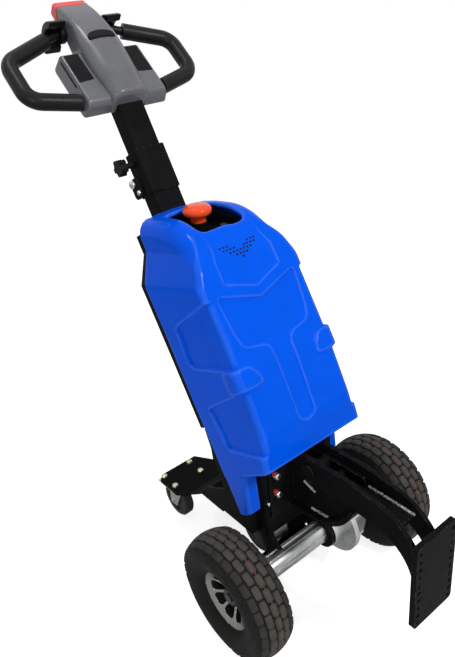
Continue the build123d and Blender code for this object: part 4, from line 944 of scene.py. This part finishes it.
def tread_block():
    """A long block with cut corners and sloping sides, its top at zero height."""
    tip_w, flat_l = BLOCK_HALF_W - BLOCK_CUT, BLOCK_HALF_L - BLOCK_CUT
    quarter = [(BLOCK_HALF_L, tip_w), (flat_l, BLOCK_HALF_W)]
    outline = quarter + [(-x, y) for x, y in reversed(quarter)]
    outline += [(-x, -y) for x, y in outline]
    rings = [[(x * grow, y * grow, z) for x, y in outline] for grow, z in BLOCK_RINGS]
    return stacked("tread_block", rings)


def spoked_face(x, y, z, top, deep, inner):
    """A dished face with rounded pockets between its spokes, from one depth under its top to another."""
    r = np.hypot(x, z)
    under = np.interp(r, DISH_R, DISH_Y) - y
    slab = np.maximum(top - under, under - deep) * DISH_SQUARE
    pitch = 2 * pi / SPOKE_COUNT
    off = np.abs((np.arctan2(x, z) - SPOKE_TURN + pitch / 2) % pitch - pitch / 2)
    pocket = round_max(SPOKE_HALF_W - r * np.sin(off), r - RING_IN, POCKET_ROUND)
    pocket = round_max(pocket, HUB_RING_R - r, POCKET_FOOT_ROUND)
    return round_max(np.maximum(np.maximum(slab, r - RING_OUT), inner - r), -pocket, FACE_ROUND)


def rim_mesh(name, sign, top, deep, inner):
    """A spoked face, facing outwards on its own side."""
    low_y, high_y = sorted(sign * y for y in RIM_BOX_Y)
    return field_mesh(
        name, lambda x, y, z: spoked_face(x, sign * y, z, top, deep, inner),
        (-RIM_BOX_R, low_y, -RIM_BOX_R), (RIM_BOX_R, high_y, RIM_BOX_R), RIM_STEP,
    )


def add_tyre(side):
    """One tyre: its carcass with ridged walls, its tread and shoulders, and the mould line."""
    place, wheel = at_wheel(side), "wheel_" + side
    rows = []
    for row in TREAD_ROWS:
        lean = row * ROW_STEP / CROWN_R
        rows.append(repeated(
            ROUND_AXLE, tread_block(), "tread_rubber", Count=TREAD_COUNT, Phase=0.5 * (row % 2), Tilt=-lean,
            Radius=TYRE_R - CROWN_R * (1 - cos(lean)), Across=CROWN_R * sin(lean),
        ))
    tread = joined("tyre_tread_" + side, rows[1:-1])
    shoulder = joined("tyre_shoulder_" + side, [rows[0], rows[-1]])
    walls = [wall_ridge(r, y, sign) for r, y in WALL_RIDGES for sign in SIDES.values()]
    profiles = [carcass_profile()] + walls
    carcass = joined("tyre_carcass_" + side, [turned("wall", profile) for profile in profiles])
    add_piece("tyre_carcass_" + side, carcass, place, "tyre_rubber", wheel, stands_for=("tyre_" + side,))
    add_piece("tyre_tread_" + side, tread, place, "tread_rubber", wheel)
    # The outer rows get the darker rubber: a painted shade on the shoulders
    add_piece("tyre_shoulder_" + side, shoulder, place, "shaded_shoulder_rubber", wheel)
    line = [(TYRE_R - LINE_UNDER, -LINE_HALF_W), (TYRE_R + LINE_OVER, -LINE_HALF_W)]
    line += [(r, -y) for r, y in reversed(line)]
    mould_line = turned("mould_line_" + side, line)
    add_piece("mould_line_" + side, mould_line, place, "mould_red", wheel)


def add_rim(side, sign):
    """One rim: its dark barrel and spokes, and the bright face on them."""
    place, wheel = at_wheel(side), "wheel_" + side
    barrel = turned("rim_barrel", [(r, sign * y) for r, y in BARREL])
    spokes = rim_mesh("rim_spokes", sign, FACE_SKIN / 2, SPOKE_DEEP, SPOKE_IN)
    dark = joined("rim_body_" + side, [barrel, spokes])
    add_piece("rim_body_" + side, dark, place, "rim_paint", wheel, stands_for=("rim_" + side,))
    face = rim_mesh("rim_face_" + side, sign, 0.0, FACE_SKIN, FACE_IN)
    add_piece("rim_face_" + side, face, place, "machined_lip", wheel)


for side, sign in SIDES.items():
    add_tyre(side)
    add_rim(side, sign)


# Sides of a large round piece
ROUND_SIDES = 64
# Bolts: how far a head is sunk, and its chamfer as a share of its height
BOLT_SUNK, BOLT_CHAMFER = 1.0, 0.18


def bolt_head(radius, height, sides):
    """A bolt's head, standing on Z."""
    edge = height * BOLT_CHAMFER
    return drum("bolt_head", sides, [(radius, -BOLT_SUNK), (radius, height - edge), (radius - edge, height)])


# How a piece made along Z is turned to face another way
FACING = {"x": (0, pi / 2, 0), "-y": (pi / 2, 0, 0), "z": (0, 0, 0)}
BOLTS = {
    # name: start, end, count, radius, height, sides, facing, finish
    "bracket_bolts_high": ((-18, -70, 332), (-18, 56, 330), 2, 7.2, 11, 20, "x", "bolt_steel"),
    "bracket_bolts_low": ((-18, -70, 287), (-18, 56, 285), 2, 7.2, 11, 20, "x", "bolt_steel"),
    # Flat dark hexagons on the bolt heads: a painted shade in place of the sockets' recesses
    "socket_shade_high": ((-6.6, -70, 332), (-6.6, 56, 330), 2, 3.6, 0.4, 6, "x", "matt_pad"),
    "socket_shade_low": ((-6.6, -70, 287), (-6.6, 56, 285), 2, 3.6, 0.4, 6, "x", "matt_pad"),
    "paint_marks_high": ((-18, -74, 337), (-18, 52, 335), 2, 4, 8, 10, "x", "mark_red"),
    "paint_marks_low": ((-18, -74, 292), (-18, 52, 290), 2, 4, 8, 10, "x", "mark_red"),
    "corner_bolts": ((-26, -86, 262), (-26, 86, 262), 2, 4.5, 4, 6, "x", "bolt_steel"),
    "pad_bolts_back_right": ((-372, -123, 139), (-372, -49, 139), 2, 7.5, 6, 6, "z", "zinc_bolt"),
    "pad_bolts_front_right": ((-326, -123, 139), (-326, -49, 139), 2, 7.5, 6, 6, "z", "zinc_bolt"),
    "pad_bolts_back_left": ((-372, 49, 139), (-372, 123, 139), 2, 7.5, 6, 6, "z", "zinc_bolt"),
    "pad_bolts_front_left": ((-326, 49, 139), (-326, 123, 139), 2, 7.5, 6, 6, "z", "zinc_bolt"),
    "lug_bolt": ((-441, -41, 825), (-441, -41, 825), 1, 9, 5, 20, "-y", "bolt_steel"),
    "small_lug_bolt": ((-419, -41, 812), (-419, -41, 812), 1, 5, 4, 20, "-y", "bolt_steel"),
}
for name, (start, end, count, radius, height, sides, facing, finish) in BOLTS.items():
    mesh = repeated(
        ALONG_LINE, bolt_head(radius, height, sides), finish,
        Count=count, Start=start, End=end, Turn=FACING[facing],
    )
    add_piece(name, mesh, AT_AXLE, finish, "chassis")

# Rows of a weld drop: radius, and place along the bead
WELD_DROP, DROP_SIDES = [(1.2, -2.2), (3.0, -0.9), (3.0, 0.9), (1.2, 2.2)], 8
# Weld beads in the hitch, alike on both sides: start, end and count of the drops
WELDS = {
    "web_weld": ((97, 20.5, 344), (238, 20.5, 345), 44),
    "chin_weld": ((33, 24, 250), (74, 24, 255), 13),
    "cheek_weld": ((14, 23, 306), (40, 23, 297), 9),
}
# The beads' bright patches are partly bare metal and partly painted glints
for name, (start, end, count) in WELDS.items():
    drop = drum("drop", DROP_SIDES, WELD_DROP)
    runs = []
    for sign in SIDES.values():
        first, last = [(x, sign * y, z) for x, y, z in (start, end)]
        runs.append(repeated(
            ALONG_LINE, drop, "weld_bare_and_glint", Count=count, Start=first, End=last, Turn=FACING["x"],
        ))
    add_piece(name, joined(name, runs), AT_AXLE, "weld_bare_and_glint", "chassis")

# A brush cap on the motor's front: rows of radius and height, and its place
BRUSH_CAP = [(13.0, -3.0), (13.0, 1.2), (11.5, 2.0), (4.0, 2.0), (3.0, 1.0)]
BRUSH_AT, BRUSH_SIDES = (-37, -51, 120), 24
add_piece(
    "brush_cap", drum("brush_cap", BRUSH_SIDES, BRUSH_CAP),
    AT_AXLE @ Matrix.Translation(BRUSH_AT) @ Matrix.Rotation(pi / 2, 4, "Y"), "black_plastic", "chassis",
)

# A dark cap over the motor's outer end: its section as radius and Y
MOTOR_X, MOTOR_Z = -86.0, 132.0
CAP = [(1.0, -78.6), (40.0, -78.6), (45.4, -74.0), (45.4, -63.0), (43.0, -63.0), (43.0, -70.0), (1.0, -70.0)]
add_piece(
    "motor_cap", turned("motor_cap", CAP, ROUND_SIDES), AT_AXLE @ Matrix.Translation((MOTOR_X, 0, MOTOR_Z)),
    "black_plastic", "chassis",
)

# Vent holes drawn as dark dots, a painted shade for the holes, in rows from the lowest up: first and last
# place from the middle line, in half steps
DOT_ROWS = [(0, 0), (-3, 3), (-6, 6), (3, 9), (6, 10)]
DOT_HALF_STEP, DOT_ROW_STEP, DOT_LOW, DOT_OVER = 4.0, 6.5, 714.0, 0.1
# Rows of a dot: radius and height
DOT, DOT_SIDES = [(2.4, -1.0), (2.4, 0.2)], 12
dots = []
for row, (first, last) in enumerate(DOT_ROWS):
    along = DOT_LOW + row * DOT_ROW_STEP
    for sign in SIDES.values():
        if sign < 0 and first <= 0:
            continue
        span = (first * DOT_HALF_STEP, last * DOT_HALF_STEP)
        start, end = [(on_cover(y, along) + DOT_OVER, sign * y, along) for y in span]
        dots.append(repeated(
            ALONG_LINE, drum("dot", DOT_SIDES, DOT), "matt_pad",
            Count=(last - first) // 2 + 1, Start=start, End=end, Turn=FACING["x"],
        ))
add_piece("vent_shade_dots", joined("vent_shade_dots", dots), LEANING, "matt_pad", "chassis")

# The emergency stop: rows of radius and height over the tray, a full red cap and collar on a black base
STOP_BASE = [(17.5, 0.0), (17.5, 24.0), (16.0, 25.0)]
STOP_CAP = [
    (15.5, 24.0), (15.5, 37.5), (22.0, 38.5), (26.0, 40.0), (28.4, 43.0), (29.0, 46.5), (28.3, 50.5),
    (26.0, 54.2), (21.5, 57.0), (14.0, 58.6), (5.0, 59.0),
]
stop_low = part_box("emergency_stop")[0].z
on_tray = Matrix.Translation((middle("emergency_stop").x, 0, stop_low)) @ MILLIMETRES
add_piece(
    "stop_cap", drum("stop_cap", ROUND_SIDES, STOP_CAP), on_tray, "stop_red", "chassis",
    stands_for=("emergency_stop",),
)
add_piece("stop_base", drum("stop_base", ROUND_SIDES, STOP_BASE), on_tray, "black_plastic", "chassis")

# A dark plate between the motor and the axle, a painted shade: it hides the floor seen through the gap under
# the chassis
GAP_PLATE_CORNERS = [(-54.0, -92.0), (-12.0, -92.0), (-12.0, 30.0), (-54.0, 30.0)]
GAP_PLATE_Z = (104.0, 109.0)
layers = [[(x, y, z) for x, y in GAP_PLATE_CORNERS] for z in GAP_PLATE_Z]
add_piece("gap_shade_plate", stacked("gap_shade_plate", layers), AT_AXLE, "black_steel", "chassis")


# Camera, from the photograph's own viewpoint, measured from the floor under the axle
IMAGE_W = 455
IMAGE_H = 657
FOCAL_PX = 657.2
AXIS_PX = (238.9, 322.0)
SENSOR = 36.0
CAMERA_PLACE = Vector((0.7428, -0.6930, 1.1873))
CAMERA_AZIMUTH = 53.1
CAMERA_ELEVATION = 27.74
CAMERA_ROLL = -5.54


def add_camera():
    data = bpy.data.cameras.new("camera")
    data.sensor_width = SENSOR
    data.lens = FOCAL_PX / IMAGE_H * SENSOR
    data.shift_x = (IMAGE_W / 2 - AXIS_PX[0]) / IMAGE_H
    data.shift_y = (AXIS_PX[1] - IMAGE_H / 2) / IMAGE_H
    camera = linked("camera", data)
    turn = (
        Matrix.Rotation(radians(CAMERA_AZIMUTH), 4, "Z")
        @ Matrix.Rotation(radians(90 - CAMERA_ELEVATION), 4, "X")
        @ Matrix.Rotation(radians(CAMERA_ROLL), 4, "Z")
    )
    camera.matrix_world = Matrix.Translation(CAMERA_PLACE + Vector((AXLE_X, 0, 0))) @ turn
    bpy.context.scene.camera = camera


# Floor, lamps and white surroundings
FLOOR_HALF = 6.0
FLOOR_GREY = 0.86
FLOOR_GLOW = 0.75
FLOOR_ROUGH = 0.9
SKY_FILL = 0.33
# Each lamp: place, the point it faces, width, height, power and colour
LAMPS = {
    "key": ((2.2, 0.5, 2.6), (0, 0, 0.5), 0.35, 0.35, 47.0, (1.0, 0.98, 0.95)),
    "side": ((1.5, -1.8, 1.25), (0, 0, 0.6), 0.07, 0.9, 12.0, (0.95, 0.98, 1.0)),
    "top": ((-0.45, -0.31, 2.75), (-0.4, 0, 1.0), 0.3, 0.3, 12.0, (1.0, 1.0, 1.0)),
}


def shown_white(tree, strength_elsewhere):
    """Strength 1 for the camera, mirrors and glass, and another value for other light."""
    path = put(tree, "ShaderNodeLightPath").outputs
    seen = number(tree, "MAXIMUM", path["Is Camera Ray"], path["Is Glossy Ray"])
    seen = number(tree, "MAXIMUM", seen, path["Is Transmission Ray"])
    made = put(tree, "ShaderNodeMapRange", {"Value": seen, "To Min": strength_elsewhere, "To Max": 1.0})
    return made.outputs["Result"]


def add_world():
    world = bpy.data.worlds.new("studio")
    world.use_nodes = True
    background = world.node_tree.nodes["Background"]
    background.inputs["Color"].default_value = (1, 1, 1, 1)
    world.node_tree.links.new(shown_white(world.node_tree, SKY_FILL), background.inputs["Strength"])
    bpy.context.scene.world = world


def add_floor():
    mesh = bpy.data.meshes.new("floor")
    corners = [(x * FLOOR_HALF, y * FLOOR_HALF, 0) for x, y in ((-1, -1), (1, -1), (1, 1), (-1, 1))]
    mesh.from_pydata(corners, [], [(0, 1, 2, 3)])
    linked("floor", mesh)
    material = bpy.data.materials.new("pale_floor")
    material.use_nodes = True
    tree = material.node_tree
    shader = tree.nodes["Principled BSDF"]
    shader.inputs["Base Color"].default_value = (FLOOR_GREY, FLOOR_GREY, FLOOR_GREY, 1)
    shader.inputs["Roughness"].default_value = FLOOR_ROUGH
    shader.inputs["Specular IOR Level"].default_value = 0.0
    shader.inputs["Emission Color"].default_value = (1, 1, 1, 1)
    seen = put(tree, "ShaderNodeLightPath").outputs["Is Camera Ray"]
    tree.links.new(number(tree, "MULTIPLY", seen, FLOOR_GLOW), shader.inputs["Emission Strength"])
    mesh.materials.append(material)


def add_lamps():
    for name, (place, aim, width, height, power, colour) in LAMPS.items():
        data = bpy.data.lights.new(name, "AREA")
        data.shape = "RECTANGLE"
        data.size = width
        data.size_y = height
        data.energy = power
        data.color = colour
        lamp = linked(name, data)
        lamp.location = place
        lamp.rotation_euler = (Vector(place) - Vector(aim)).to_track_quat("Z", "Y").to_euler()


add_camera()
add_world()
add_floor()
add_lamps()
bpy.context.scene.view_settings.view_transform = "Standard"
